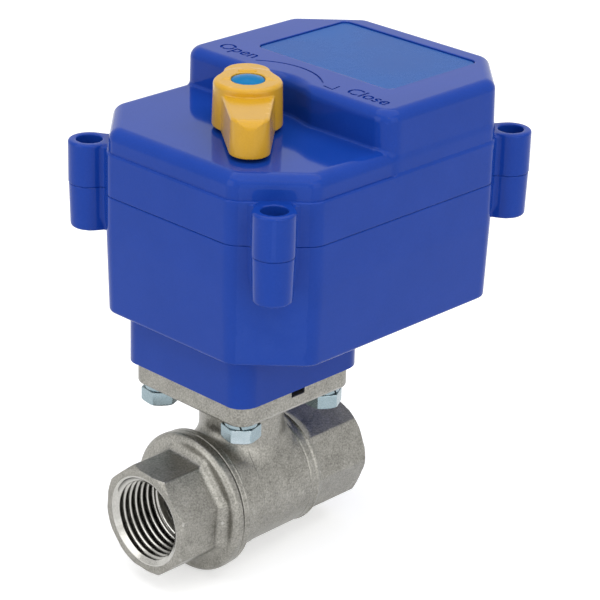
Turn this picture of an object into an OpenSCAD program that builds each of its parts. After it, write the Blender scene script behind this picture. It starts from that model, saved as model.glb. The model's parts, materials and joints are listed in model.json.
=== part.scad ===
// Motorized half-inch ball valve with a hand knob.
// The pipe runs along X, the stem points up along Z, and the origin is the
// centre of the inlet face. The valve is drawn open, as it is at rest.

/* [Pipe] */
// Inlet face to stem axis
inlet_len = 31; // [29:0.5:40]
// Stem axis to outlet face
outlet_len = 30; // [29:0.5:40]
// Width across the flats of the octagonal ends
end_af = 25; // [24:0.25:27]
// Turn of the screwed-in inlet octagon about the pipe
inlet_turn = 26.5; // [0:0.5:45]
// Minor diameter of the parallel pipe thread in both ports
port_d = 18.631; // [17:0.001:19.2]
// Depth of each threaded port
port_len = 13; // [10:0.5:14]
// Diameter of the countersink at each port's mouth
mouth_d = 21.8; // [20.5:0.1:22.4]
// Depth of the countersink
mouth_depth = 0.8; // [0.4:0.1:1.5]
// Diameter of the flow bore
flow_d = 15; // [11:0.5:15.5]
// Chamfer on the octagon's end corners
end_chamfer = 0.8; // [0.3:0.1:1.2]
// Depth of the turned cones below the octagon's flats
cone_drop = 0.3; // [0.1:0.05:0.5]

/* [Valve body] */
// Stem axis to the joint between inlet end and body
joint_x = 15.4; // [15:0.1:17]
// Diameter of the inlet end's round ring
ring_d = 34; // [32:0.5:38]
// Length of the flare from the ring to the inlet octagon
ring_w = 4.4; // [3:0.1:6]
// Width of the ring's straight lip
ring_lip = 0.6; // [0.4:0.1:1]
// Length of the ring's bevel
ring_bevel = 1.8; // [1:0.1:1.9]
// Height of the ring's bevel
ring_bevel_h = 1.5; // [0.8:0.1:2]
// Step from the ring down to the body's rim
rim_step = 0.2; // [0.1:0.05:0.4]
// Width of the body's rim
rim_w = 2; // [1:0.1:3]
// Length of the cone from the rim to the barrel
rim_cone = 1.6; // [1:0.1:2.5]
// Diameter of the body's barrel
barrel_d = 29; // [28:0.25:31]
// Stem axis to the barrel's far shoulder
barrel_end = 12; // [11:0.5:13]
// Length of the cone from the shoulder to the outlet octagon
shoulder_w = 4.5; // [3:0.5:6]
// Diameter of the chamber round the ball
cavity_d = 24.4; // [24.2:0.1:25]
// Thickness of the gasket at the joint
end_gasket_t = 0.5; // [0.3:0.1:0.8]
// Diameter of the neck
neck_d = 20; // [19:0.5:24]
// Side of the square flange
flange_w = 36.7; // [36:0.1:38]
// Corner radius of the flange
flange_r = 4; // [2:0.5:6]
// Thickness of the flange
flange_t = 5.6; // [4:0.1:8]
// Underside of the flange above the pipe axis
flange_z = 25.5; // [24:0.5:30]
// Width of the drain slot in the flange's top
slot_w = 4.2; // [3:0.1:6]
// Depth of the drain slot
slot_d = 2.4; // [1:0.1:3]

/* [Ball and stem] */
// Diameter of the ball
ball_d = 23.4; // [22:0.1:23.6]
// Gap between the ball and the face of each seat
seat_gap = 0.25; // [0.1:0.05:0.4]
// Length of each seat along the pipe
seat_w = 4; // [3:0.1:4.4]
// Diameter of the stem
stem_d = 9; // [8:0.25:9.5]
// Depth of the slot in the ball's top
ball_slot = 3; // [2.5:0.1:3.4]
// Thickness of the stem's tang in the ball's slot
tang_t = 4; // [3:0.1:5]
// Length of the tang
tang_w = 8; // [6:0.5:8.5]
// Gap on each side of the tang and of the stem's square
key_gap = 0.05; // [0.03:0.01:0.2]
// Diameter of the collar that keeps the stem in
stem_collar_d = 12; // [11:0.25:12.5]
// Side of the square at the stem's top
stem_square = 6; // [5:0.1:6.2]
// Thickness of that collar
stem_collar_t = 1.2; // [1:0.1:1.6]
// Thickness of the washer on that collar
stem_washer_t = 0.6; // [0.4:0.1:0.8]
// Thickness of the neck between that washer and the packing
neck_bridge = 2.8; // [2:0.1:3]
// Diameter of the packing chamber in the neck
packing_d = 13; // [12:0.25:14]
// Height of the packing
packing_h = 5; // [3:0.5:6]
// Height of the gland nut above the packing
gland_nut_h = 4; // [2:0.5:5]

/* [Flange bolts] */
// Side of the square that the four bolts stand on
bolt_square = 26.8; // [26:0.1:27.4]
// Diameter of the bolt's shank
bolt_d = 5; // [4:0.1:5.4]
// Thread inserts stop this far below the housing's underside
insert_drop = 2.5; // [1.5:0.1:4]
// Width across the flats of the bolt's head
bolt_head_af = 8; // [7:0.1:8.4]
// Height of the bolt's head
bolt_head_h = 3.5; // [2.5:0.1:4.5]
// Height of the bevel round the head's end
bolt_bevel = 0.6; // [0.3:0.1:1]
// Length of the bolt under its head
bolt_len = 16; // [13:0.5:17]
// Thickness of the spring washer
washer_t = 1.3; // [0.8:0.1:1.6]
// Outer diameter of the spring washer
washer_d = 8.4; // [7.6:0.1:9]
// Width of the split in the spring washer
washer_split = 0.5; // [0.3:0.1:1]
// Outer diameter of the brass insert that each bolt screws into
insert_d = 7; // [6.6:0.1:7.4]

/* [Housing] */
// Stem axis to the housing's inlet end
box_back = 24.6; // [24.4:0.1:27]
// Stem axis to the housing's far end
box_front = 60.6; // [60:0.1:66]
// Width of the housing
box_w = 66.8; // [66:0.2:74]
// Leg of the cut across each corner
corner_cut = 13.5; // [12:0.25:15]
// Radius that softens the housing's upright edges
corner_r = 5; // [1:0.25:5.5]
// Wall of the housing
wall_t = 2.2; // [1.6:0.1:2.6]
// Height of the square collar under the housing
collar_h = 12.9; // [12:0.1:16]
// Side of the collar
collar_w = 39.9; // [39:0.1:42]
// Corner radius of the collar
collar_r = 5; // [3:0.5:7]
// Height of the base, from its underside to the split
base_h = 28.7; // [27:0.1:32]
// Height of the base's upright band, from the split down to where it narrows
band_h = 9.8; // [8.5:0.1:12]
// Narrowing of the base's underside, per side
base_draft = 0.6; // [0:0.1:1.2]
// Radius round the base's underside
base_edge_r = 0.8; // [0.6:0.1:2]
// Height of the cover, from the split to the deck
cover_h = 15.9; // [15:0.1:20]
// Radius round the deck
deck_edge_r = 3; // [1.5:0.25:4]
// Height of the raised block above the deck
block_h = 9; // [7:0.5:14]
// Radius round the raised block's top
block_edge_r = 2.6; // [0.8:0.1:3]
// Stem axis to the raised block's step
step_x = 10.6; // [10:0.1:12]
// Gap between the pointer's sweep and the hollow in the step
scallop_gap = 0.5; // [0.4:0.1:2]
// Height of the cover's lower band, up to the line round the cover
lip_h = 10.3; // [8:0.1:12]
// Setback of the block's wall above that line
lip_w = 0.4; // [0.2:0.05:0.8]
// Setback of the deck's wall behind the block's wall
deck_step = 0.2; // [0.1:0.05:0.4]
// Narrowing of the block towards its top, per side
block_draft = 0.35; // [0.1:0.05:0.6]
// Thickness of the gasket between the halves
gasket_t = 0.6; // [0.3:0.1:1]
// Width of the wall outside the gasket
gasket_inset = 0.8; // [0.5:0.1:1]

/* [Housing screws] */
// Diameter of each screw lug
lug_d = 9.8; // [9:0.1:11]
// Lug axis outside the corner cut
lug_out = 4.26; // [3.5:0.1:5.5]
// Width of the web behind each lug
web_w = 8; // [4:0.25:8]
// Height of the lug on the base
base_lug_h = 10.8; // [9:0.1:12]
// Rise of the web's foot above the base lug's foot
web_rise = 0.6; // [0.2:0.1:1.5]
// Height of the lug on the cover
cover_lug_h = 10.2; // [8:0.1:12]
// Diameter of the deep hole above each screw
lug_hole_d = 6; // [5.8:0.1:6.4]
// Material left under each screw head
lug_floor_t = 3.3; // [2.5:0.1:4]
// Diameter of the housing screws
screw_d = 3; // [2.5:0.1:3.2]
// Length of the housing screws under the head
screw_len = 12; // [10:0.5:12]
// Diameter of the screw heads
screw_head_d = 5.4; // [4.8:0.1:5.6]
// Height of the screw heads
screw_head_h = 2; // [1.2:0.1:2.6]
// Width of the slots in the screw heads
cross_w = 0.8; // [0.5:0.1:1]
// Depth of the slots in the screw heads
cross_depth = 1; // [0.5:0.1:1.1]

/* [Rating plate] */
// Stem axis to the plate's near edge
plate_x = 23.5; // [21:0.5:25]
// Size of the plate along the pipe
plate_l = 30.5; // [26:0.5:31]
// Size of the plate across the pipe
plate_w = 42.3; // [36:0.1:46]
// Corner radius of the plate
plate_r = 2; // [1:0.25:4]
// Thickness of the plate
plate_t = 0.4; // [0.2:0.1:0.8]
// Depth that the plate lies below the block's top
plate_drop = 0.3; // [0.1:0.1:0.5]
// Gap round the plate in its recess
plate_gap = 0.2; // [0.1:0.05:0.4]

/* [Knob] */
// Diameter of the knob's hub
knob_d = 15.7; // [14.5:0.1:17]
// Height of the knob
knob_h = 10.4; // [9:0.1:13]
// Bevel round the knob's top
knob_rim = 1; // [0.3:0.1:1]
// Gap between the knob and the deck
knob_gap = 0.9; // [0.5:0.1:1.5]
// Reach of the lever from the shaft's axis
lever_len = 23.8; // [18:0.1:24]
// Half-width of the lever at its tip
lever_tip_r = 4.4; // [3.5:0.1:5]
// Half-width of the lever at the hub
lever_root = 6.3; // [5:0.1:6.4]
// Drop of the lever's top below the knob's top
lever_drop = 1.9; // [1:0.1:3]
// Reach of the pointer behind the hub
pointer_len = 12; // [10:0.1:12.6]
// Half-width of the pointer
pointer_r = 5.4; // [4.5:0.1:6]
// Diameter of the cap in the knob's top
cap_d = 7.8; // [7:0.1:9]
// Rise of the cap's dome
cap_rise = 0.8; // [0.3:0.1:1.2]
// Depth of the cap's rim in the knob
cap_t = 1.4; // [1:0.1:1.6]
// Depth of the screw's seat in the knob
knob_screw_drop = 3.4; // [3:0.1:3.8]
// Depth of the shaft's end below the knob's top
shaft_drop = 4.5; // [4:0.1:5.5]
// Travel when the knob is pulled up to free the clutch
lift_travel = 2.5; // [2:0.25:3]

/* [Shaft and clutch] */
// Diameter of the shaft's lower end round the stem
shaft_foot_d = 13; // [12:0.25:14]
// Diameter of the shaft under the output gear
shaft_seat_d = 11; // [10.5:0.1:11.5]
// Diameter of the shaft through the clutch and the cover
shaft_d = 8; // [7.5:0.1:8.4]
// Running gap between a turning piece and its hole
run_gap = 0.05; // [0.03:0.01:0.08]
// Diameter of the rod inside the shaft
rod_d = 3; // [2.6:0.1:3.2]
// Diameter of the pin across the rod
pin_d = 2; // [1.5:0.1:2.2]
// Diameter of the clutch ring
clutch_d = 16; // [14:0.25:17]
// Thickness of the clutch ring
clutch_t = 3; // [2.6:0.1:3.6]
// Height of the clutch dogs
dog_h = 1.6; // [1:0.1:1.8]
// Width of the clutch dogs
dog_w = 2; // [1.5:0.1:2.6]
// Room for the clutch spring at rest
spring_room = 9; // [8:0.25:9.5]
// Diameter of the clutch spring's wire
spring_wire = 0.8; // [0.6:0.1:1]
// Number of curls in the clutch spring
spring_turns = 5; // [3:1:6]

/* [Gear train] */
// Pressure angle of the teeth
press_angle = 25; // [24:1:26]
// Play between teeth at the pitch circle
backlash = 0.1; // [0.06:0.01:0.14]
// Module of the output stage
module_a = 0.8; // [0.76:0.01:0.82]
// Module of the middle stage
module_b = 0.6; // [0.56:0.01:0.62]
// Module of the motor stage
module_c = 0.5; // [0.46:0.01:0.52]
// Teeth of the output gear
teeth_out = 48; // [44:1:49]
// Teeth of the first idler's gear
teeth_b = 50; // [46:1:52]
// Teeth of the second idler's gear
teeth_c = 44; // [40:1:46]
// Teeth of every pinion
teeth_pinion = 12; // [12:1:13]
// Direction from the first idler to the second
second_dir = 25; // [20:1:30]
// Direction from the second idler to the motor
motor_dir = -85; // [-90:1:-70]
// Thickness of the output gear
gear_a_t = 5; // [4:0.25:5.5]
// Thickness of the first idler's gear
gear_b_t = 3; // [2:0.25:3]
// Thickness of the second idler's gear
gear_c_t = 2.5; // [2:0.25:2.75]
// Free height between gears and between gears and plates
layer_gap = 1; // [0.6:0.1:1.1]
// Diameter of the idler axles
axle_d = 3; // [2:0.1:3.4]

/* [Gear plates] */
// Thickness of the gear plates
gear_plate_t = 1.5; // [1:0.1:2]
// Gap between the gear plates and the housing's wall
gear_plate_gap = 0.8; // [0.4:0.1:1.5]
// Height of the bosses that carry the lower plate
boss_h = 1.6; // [1:0.1:2]
// Diameter of the pillars between the plates
pillar_d = 5; // [4.4:0.1:5.4]
// Height of the plate screws' heads
plate_head_h = 1.4; // [1:0.1:1.8]
// Diameter of the plate screws
plate_screw_d = 2.5; // [2:0.1:2.8]

/* [Motor] */
// Diameter of the motor's can
motor_d = 24; // [20:0.5:24]
// Length of the motor's can
motor_len = 25; // [20:0.5:26]
// Diameter of the motor's shaft
motor_shaft_d = 2; // [1.5:0.1:2.3]
// Diameter of the boss round the motor's shaft
motor_boss_d = 6; // [5:0.25:8]
// Thickness of the motor's end cap
motor_cap_t = 1.5; // [1:0.1:1.8]
// Distance between the motor's two screws
motor_screw_span = 16; // [14:0.5:17]

/* [Control board] */
// Length of the board along the pipe
board_l = 40; // [36:0.5:42]
// Width of the board
board_w = 42; // [38:0.5:43]
// Corner radius of the board
board_r = 1.5; // [0.5:0.25:3]
// Thickness of the board
board_t = 1.6; // [1:0.1:2]
// Height of the spacers under the board
spacer_h = 4; // [3.4:0.1:5]
// Distance from the board's ends to its spacers
spacer_x = 7; // [5:0.5:9]
// Distance from the board's sides to its spacers
spacer_y = 4; // [3.5:0.5:5]
// Length of each limit switch
switch_l = 12; // [10:0.5:13]
// Width of each limit switch
switch_w = 5.5; // [4.5:0.1:6]
// Height of each limit switch
switch_h = 6.5; // [5:0.1:7]
// Length of the terminal block along the pipe
terminal_l = 7; // [5:0.5:8]
// Distance between the terminal block's three holes
terminal_pitch = 5.5; // [4:0.1:6]
// Height of the terminal block
terminal_h = 8; // [6:0.5:9]
// Diameter of the terminal block's holes
terminal_d = 3; // [2:0.1:3.2]
// Diameter of the hole round the cam
board_hole_d = 20; // [19:0.5:21]
// Diameter of the limit cam's round part
cam_d = 14; // [13:0.25:15]
// Width of the cam's lobe
lobe_w = 3; // [2:0.1:4]
// Rise of the cam's lobe
cam_rise = 1.2; // [0.8:0.1:1.5]
// Height of the limit cam
cam_h = 5; // [4:0.25:6]
// Gap between the cam's lobe and a switch plunger
cam_gap = 0.3; // [0.2:0.05:0.5]

/* [Cable gland] */
// Diameter of the gland's threaded stem
gland_d = 12; // [11:0.25:12.5]
// Width across the flats of the gland's body and nut
gland_af = 14; // [13.5:0.1:14.2]
// Diameter of the hole that holds the lead
gland_bore = 6; // [4:0.25:7]
// Length of the hole that holds the lead
gland_grip = 10.5; // [7:0.5:11.5]
// Diameter of the wider passage from there into the housing
gland_passage = 8; // [7:0.25:9]
// Length of the gland outside the housing
gland_out = 12; // [9:0.5:16]
// Length of the gland's hexagon
gland_hex_w = 4.2; // [3:0.1:6]
// Length of the nut inside
inner_nut_w = 3; // [2:0.1:3.5]

/* [Hidden] */
$fn = 64;
sides = [-1, 1];
eps = 0.01;
fit_gap = 0.05;
bolt_gap = 0.25;
corner_gap = 0.1;
washer_gap = 0.1;
gasket_drop = 0.5;
boss_rim = 0.3;
dog_gap = 0.1;
hub_wall = 1.2;
motor_hole = 2.5;
screw_reach = 0.8;
motor_head_h = 0.6;
motor_head_rim = 0.7;
seat_relief = 0.1;
loose_gap = 0.2;
spare = 1;
bolt_cone_drop = 0.4;
bolt_cone_share = 1.2;
edge_share = 0.3;
screw_room = 0.5;
cross_share = 0.7;
driver_depth = 0.6;
pin_neck_room = 0.4;
pin_neck_step = 0.7;
dog_inset = 0.8;
dog_rim = 0.2;
spring_inset = 1.6;
seal_w = 1.5;
motor_shaft_room = 1.5;
motor_screw_room = 0.5;
motor_tab_w = 2;
motor_tab_t = 0.8;
motor_tab_h = 3;
gland_rim = 0.5;
tip_share = 0.95;
root_share = 1.3;
switch_gap = 1.5;

// Heights, from the pipe axis up
flange_top = flange_z + flange_t;
base_z = flange_top + collar_h;
split_z = base_z + base_h;
gasket_z = split_z + gasket_t;
lip_z = split_z + lip_h;
deck_z = split_z + cover_h;
block_z = deck_z + block_h;
floor_z = base_z + wall_t;
lower_plate_z = floor_z + boss_h;
gear_a_z = lower_plate_z + gear_plate_t + layer_gap;
gear_b_z = gear_a_z + gear_a_t + layer_gap;
gear_c_z = gear_b_z + gear_b_t + layer_gap;
pinion_lap = 0.5;
upper_plate_z = gear_c_z + gear_c_t + pinion_lap + layer_gap;
lower_plate_top = lower_plate_z + gear_plate_t;
upper_plate_top = upper_plate_z + gear_plate_t;
board_z = upper_plate_top + spacer_h;
board_top = board_z + board_t;
gland_z = (lower_plate_top + upper_plate_z) / 2;

// Valve body and ball
cone_d = end_af - 2 * cone_drop;
ball_r = ball_d / 2;
cavity_r = cavity_d / 2;
seat_lap = 1.2;
chamber_gap = 0.3;
seat_out = ball_r - seat_lap;
seat_in = seat_out - seat_w;
ball_slot_z = ball_r - ball_slot;
collar_z = cavity_r + chamber_gap;
recess_top = collar_z + stem_collar_t + stem_washer_t + fit_gap;
packing_z = recess_top + neck_bridge;
gland_nut_z = packing_z + packing_h;
square_z = gland_nut_z + gland_nut_h + spare;
stem_drop = 4.5;
stem_top = base_z - stem_drop;
stem_room = 0.3;

// Knob, shaft and clutch
pin_neck_d = pin_d - pin_neck_step;
knob_z = deck_z + knob_gap;
knob_top = knob_z + knob_h;
knob_open_dir = -133;
scallop_r = pointer_len + scallop_gap;
shaft_foot_z = flange_top + spare;
gear_a_top = gear_a_z + gear_a_t;
shaft_top = knob_top - shaft_drop;
part_gap = 0.3;
clutch_z = gear_a_top + part_gap;
clutch_top = clutch_z + clutch_t;
pin_z = clutch_z + clutch_t / 2;
hex_step = 0.2;
hex_af = shaft_d + 2 * hex_step;
stop_z = clutch_top + spring_room;
stop_t = 1;
groove_depth = 0.5;
groove_d = shaft_d - 2 * groove_depth;
cam_z = board_top + 2 * part_gap;
cap_z = knob_top - cap_t;
screw_seat_z = knob_top - knob_screw_drop;
knob_screw_t = 1.6;
knob_screw_rim = 1;
knob_screw_d = cap_d - 2 * knob_screw_rim;
cap_ledge = 0.7;
shaft_room = 0.5;
seal_d = shaft_d + 2 * seal_w;
rod_lap = 0.8;

// Gear train
pitch_out = module_a * teeth_out / 2;
pitch_a = module_a * teeth_pinion / 2;
pitch_b = module_b * teeth_b / 2;
pitch_pinion_b = module_b * teeth_pinion / 2;
pitch_c = module_c * teeth_c / 2;
pitch_pinion_c = module_c * teeth_pinion / 2;
first_pos = [pitch_out + pitch_a, 0];
second_pos = first_pos + (pitch_b + pitch_pinion_b) * [cos(second_dir), sin(second_dir)];
motor_pos = second_pos + (pitch_c + pitch_pinion_c) * [cos(motor_dir), sin(motor_dir)];
half_tooth = 180 / teeth_pinion;

// Housing outline
box_hw = box_w / 2;
inner_back = box_back - wall_t;
inner_front = box_front - wall_t;
inner_hw = box_hw - wall_t;
flat_hw = box_hw - corner_cut;
pillar_back = 1;
pillar_front = 1.9;
pillar_in = 1.4;
pillar_step = 1;
pillar_points = [for (s = sides) each [
    [pillar_d / 2 + pillar_back - inner_back, s * (flat_hw - pillar_in - pillar_step)],
    [inner_front - pillar_d / 2 - pillar_front, s * (flat_hw - pillar_in)]]];
bolt_points = [for (sx = sides, sy = sides) [sx, sy] * bolt_square / 2];
motor_screw_points = [for (s = sides) motor_pos + [0, s * motor_screw_span / 2]];
board_gap = 3;
board_x = board_gap - inner_back;
board_points = [for (sx = sides, sy = sides)
    [board_x + board_l / 2 + sx * (board_l / 2 - spacer_x), sy * (board_w / 2 - spacer_y)]];
switch_y = board_hole_d / 2 + switch_gap;
plunger_d = 1.6;
switch_points = [for (s = sides) [0, s * (cam_d / 2 + cam_rise + cam_gap)]];

// Centres of the four cut corners, each with its outward direction
lug_frames = [for (sx = sides, sy = sides) let (
    cx = sx < 0 ? -box_back : box_front,
    mid = [cx - sx * corner_cut / 2, sy * (box_hw - corner_cut / 2)])
    [mid + lug_out * [sx, sy] / sqrt(2), atan2(sy, sx)]];

// Corners of the housing's outline, drawn in by an inset
function cut_box(x0, x1, hw, cut) = [[x0 + cut, -hw], [x1 - cut, -hw], [x1, -hw + cut],
    [x1, hw - cut], [x1 - cut, hw], [x0 + cut, hw], [x0, hw - cut], [x0, -hw + cut]];

function inset_box(inset) = let (cut = corner_cut - inset * (2 - sqrt(2)))
    cut_box(inset - box_back, box_front - inset, box_hw - inset, cut);

// Rounds the corners of a convex outline whose points run anticlockwise
function rounded(pts, r, steps = 4) = let (n = len(pts)) [for (i = [0 : n - 1]) let (
    here = pts[i],
    before = here - pts[(i + n - 1) % n],
    after = pts[(i + 1) % n] - here,
    a0 = atan2(before[1], before[0]),
    turn = (atan2(after[1], after[0]) - a0 + 720) % 360,
    mid_dir = a0 + turn / 2 + 90,
    centre = here + r / cos(turn / 2) * [cos(mid_dir), sin(mid_dir)])
    for (k = [0 : steps]) let (a = a0 - 90 + turn * k / steps)
        centre + r * [cos(a), sin(a)]];

function housing_outline(inset) = rounded(inset_box(inset), max(corner_r - inset / 2, 0.4));

function box_outline(x0, x1, hw, r) = rounded([[x0, -hw], [x1, -hw], [x1, hw], [x0, hw]], r);

function block_outline(inset, x0) = let (cut = corner_cut - inset * (2 - sqrt(2)),
    x1 = box_front - inset, hw = box_hw - inset)
    rounded([[x0, -hw], [x1 - cut, -hw], [x1, -hw + cut], [x1, hw - cut], [x1 - cut, hw],
        [x0, hw]], max(corner_r - inset / 2, 0.4));

// Involute gear outline: one tooth lies on the X axis
function involute(rb, r) = let (t = sqrt(pow(r / rb, 2) - 1)) t * 180 / PI - atan(t);

function gear_points(m, teeth, steps = 4) = let (
    rp = m * teeth / 2,
    rb = rp * cos(press_angle),
    tip = rp + tip_share * m,
    root = rp - root_share * m,
    start = max(rb, root),
    half = 90 / teeth - backlash / 4 / rp * 180 / PI + involute(rb, rp),
    radii = [for (k = [0 : steps]) start + (tip - start) * k / steps])
    [for (i = [0 : teeth - 1]) let (mid = 360 * i / teeth)
        each concat(
            root < start ? [polar(root, mid - half)] : [],
            [for (r = radii) polar(r, mid - half + involute(rb, r))],
            [for (k = [0 : steps]) let (r = radii[steps - k]) polar(r, mid + half - involute(rb, r))],
            root < start ? [polar(root, mid + half)] : [])];

function polar(r, a) = r * [cos(a), sin(a)];

// Points of a coil, and the faces of a tube along any path
function coil_path(r, pitch, turns, steps) = [for (i = [0 : turns * steps])
    let (a = 360 * i / steps) [r * cos(a), r * sin(a), pitch * i / steps]];

module tube(path, r, n = 6) {
    last = len(path) - 1;
    rings = [for (i = [0 : last]) let (
        ahead = path[min(i + 1, last)] - path[max(i - 1, 0)],
        t = ahead / norm(ahead),
        side = cross(t, [0, 0, 1]) / norm(cross(t, [0, 0, 1])),
        up = cross(side, t))
        [for (k = [0 : n - 1]) path[i] + r * (cos(360 * k / n) * side + sin(360 * k / n) * up)]];
    points = [for (ring = rings) each ring];
    walls = [for (i = [0 : last - 1], k = [0 : n - 1]) let (
        a = i * n + k, b = i * n + (k + 1) % n) each [[a, b, b + n], [a, b + n, a + n]]];
    start = [for (k = [1 : n - 2]) [0, k + 1, k]];
    end = [for (k = [1 : n - 2]) [last * n, last * n + k, last * n + k + 1]];
    polyhedron(points, concat(walls, start, end));
}

// Solid through a stack of outlines, each given as its height and its points
module loft(levels) {
    n = len(levels[0][1]);
    last = len(levels) - 1;
    points = [for (level = levels) for (p = level[1]) [p[0], p[1], level[0]]];
    walls = [for (i = [0 : last - 1], k = [0 : n - 1]) let (
        a = i * n + k, b = i * n + (k + 1) % n) each [[a, a + n, b + n], [a, b + n, b]]];
    bottom = [for (k = [0 : n - 1]) k];
    top = [for (k = [0 : n - 1]) last * n + n - 1 - k];
    polyhedron(points, concat(walls, [bottom, top]));
}

// Everything below is drawn round the stem axis and then moved to the frame
module at_stem() {
    translate([inlet_len, 0, 0]) children();
}

// A shape drawn up the Z axis, laid along the pipe from x
module along_pipe(x) {
    translate([x, 0, 0]) rotate([0, 90, 0]) children();
}

module pipe_rod(x0, x1, d) {
    along_pipe(x0) cylinder(d = d, h = x1 - x0);
}

module rod(z0, z1, d) {
    translate([0, 0, z0]) cylinder(d = d, h = z1 - z0);
}

module hex_rod(z0, z1, af) {
    translate([0, 0, z0]) cylinder(d = af / cos(30), h = z1 - z0, $fn = 6);
}

module slab(z0, z1, points) {
    translate([0, 0, z0]) linear_extrude(z1 - z0) polygon(points);
}

module soft_square(z0, z1, side, r) {
    slab(z0, z1, box_outline(-side / 2, side / 2, side / 2, r));
}

// Octagon with its end corners turned down to a cone
module octagon_end(x0, x1, turn, chamfer_at_start) {
    corner = end_af / cos(22.5) + 2 * corner_gap;
    face = corner - 2 * end_chamfer;
    length = x1 - x0;
    intersection() {
        along_pipe(x0) rotate(turn) cylinder(d = end_af / cos(22.5), h = length, $fn = 8);
        along_pipe(x0) {
            if (chamfer_at_start) {
                cylinder(d1 = face, d2 = corner, h = end_chamfer);
                translate([0, 0, end_chamfer]) cylinder(d = corner, h = length - end_chamfer);
            } else {
                cylinder(d = corner, h = length - end_chamfer);
                translate([0, 0, length - end_chamfer])
                    cylinder(d1 = corner, d2 = face, h = end_chamfer);
            }
        }
    }
}

// Threaded port seen from its mouth, cut inwards along +X
module port_cut() {
    along_pipe(-eps) cylinder(d = port_d, h = port_len + eps);
    along_pipe(0) cylinder(d1 = mouth_d, d2 = port_d, h = mouth_depth);
    along_pipe(-spare) cylinder(d = mouth_d, h = spare);
}

module valve_body() {
    face_x = end_gasket_t - joint_x;
    rim_d = ring_d - 2 * rim_step;
    color([0.6, 0.59, 0.56]) at_stem() difference() {
        union() {
            pipe_rod(face_x, face_x + rim_w, rim_d);
            along_pipe(face_x + rim_w) cylinder(d1 = rim_d, d2 = barrel_d, h = rim_cone);
            pipe_rod(face_x + rim_w, barrel_end, barrel_d);
            along_pipe(barrel_end) cylinder(d1 = barrel_d, d2 = cone_d, h = shoulder_w);
            octagon_end(barrel_end + spare, outlet_len, 0, false);
            rod(0, flange_z + spare, neck_d);
            soft_square(flange_z, flange_top, flange_w, flange_r);
        }
        pipe_rod(face_x - spare, seat_out, cavity_d);
        pipe_rod(0, outlet_len, flow_d);
        translate([outlet_len, 0, 0]) mirror([1, 0, 0]) port_cut();
        rod(0, recess_top, stem_collar_d + 2 * loose_gap);
        rod(0, flange_top, stem_d + 2 * run_gap);
        rod(packing_z, flange_top + spare, packing_d);
        for (p = bolt_points) translate(p)
            rod(flange_z - spare, flange_top + spare, bolt_d + 2 * bolt_gap);
        translate([-slot_w / 2, -flange_w, flange_top - slot_d]) cube([slot_w, 2 * flange_w, flange_t]);
    }
}

module inlet_end() {
    flare_x = -joint_x - ring_w;
    bevel_x = -joint_x - ring_lip - ring_bevel;
    bevel_d = ring_d - 2 * ring_bevel_h;
    thread_x = -seat_out;
    nose_d = cavity_d - 2 * fit_gap;
    color([0.6, 0.59, 0.56]) at_stem() difference() {
        union() {
            octagon_end(-inlet_len, -joint_x - spare, inlet_turn, true);
            along_pipe(flare_x) cylinder(d1 = cone_d, d2 = bevel_d, h = bevel_x - flare_x);
            along_pipe(bevel_x) cylinder(d1 = bevel_d, d2 = ring_d, h = ring_bevel);
            pipe_rod(-joint_x - ring_lip, -joint_x, ring_d);
            pipe_rod(-joint_x - spare, thread_x, nose_d);
        }
        translate([-inlet_len, 0, 0]) port_cut();
        pipe_rod(-inlet_len, thread_x + spare, flow_d);
    }
}

module end_gasket() {
    color([0.23, 0.2, 0.17]) at_stem() difference() {
        pipe_rod(-joint_x, end_gasket_t - joint_x, ring_d - 2 * gasket_drop);
        pipe_rod(-joint_x - spare, spare - joint_x, cavity_d);
    }
}

module ball() {
    color([0.85, 0.86, 0.87]) at_stem() difference() {
        sphere(d = ball_d, $fn = 96);
        pipe_rod(-ball_r, ball_r, flow_d);
        translate([-ball_r, -tang_t / 2 - key_gap, ball_slot_z - key_gap])
            cube([ball_d, tang_t + 2 * key_gap, ball_r]);
    }
}

module seat_ring(side) {
    color([0.95, 0.95, 0.93]) at_stem() mirror([side < 0 ? 1 : 0, 0, 0]) difference() {
        pipe_rod(seat_in, seat_out, cavity_d - 2 * fit_gap);
        pipe_rod(seat_in - spare, seat_out + spare, flow_d + 2 * seat_relief);
        sphere(r = ball_r + seat_gap, $fn = 96);
    }
}

module inlet_seat() {
    seat_ring(-1);
}

module outlet_seat() {
    seat_ring(1);
}

module stem() {
    color([0.72, 0.66, 0.5]) at_stem() {
        translate([-tang_w / 2, -tang_t / 2, ball_slot_z])
            cube([tang_w, tang_t, collar_z - ball_slot_z + eps]);
        rod(collar_z, collar_z + stem_collar_t, stem_collar_d);
        rod(collar_z + eps, square_z, stem_d);
        translate([-stem_square / 2, -stem_square / 2, square_z - eps])
            cube([stem_square, stem_square, stem_top - square_z]);
    }
}

module stem_ring(z0, z1, d) {
    at_stem() difference() {
        rod(z0, z1, d);
        rod(z0 - spare, z1 + spare, stem_d + 2 * run_gap);
    }
}

module stem_washer() {
    color([0.95, 0.95, 0.93]) stem_ring(recess_top - stem_washer_t, recess_top, stem_collar_d);
}

module stem_packing() {
    color([0.93, 0.93, 0.9]) stem_ring(packing_z, gland_nut_z, packing_d - 2 * fit_gap);
}

module gland_nut() {
    color([0.8, 0.68, 0.35]) stem_ring(gland_nut_z, gland_nut_z + gland_nut_h,
        packing_d - 2 * fit_gap);
}

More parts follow.
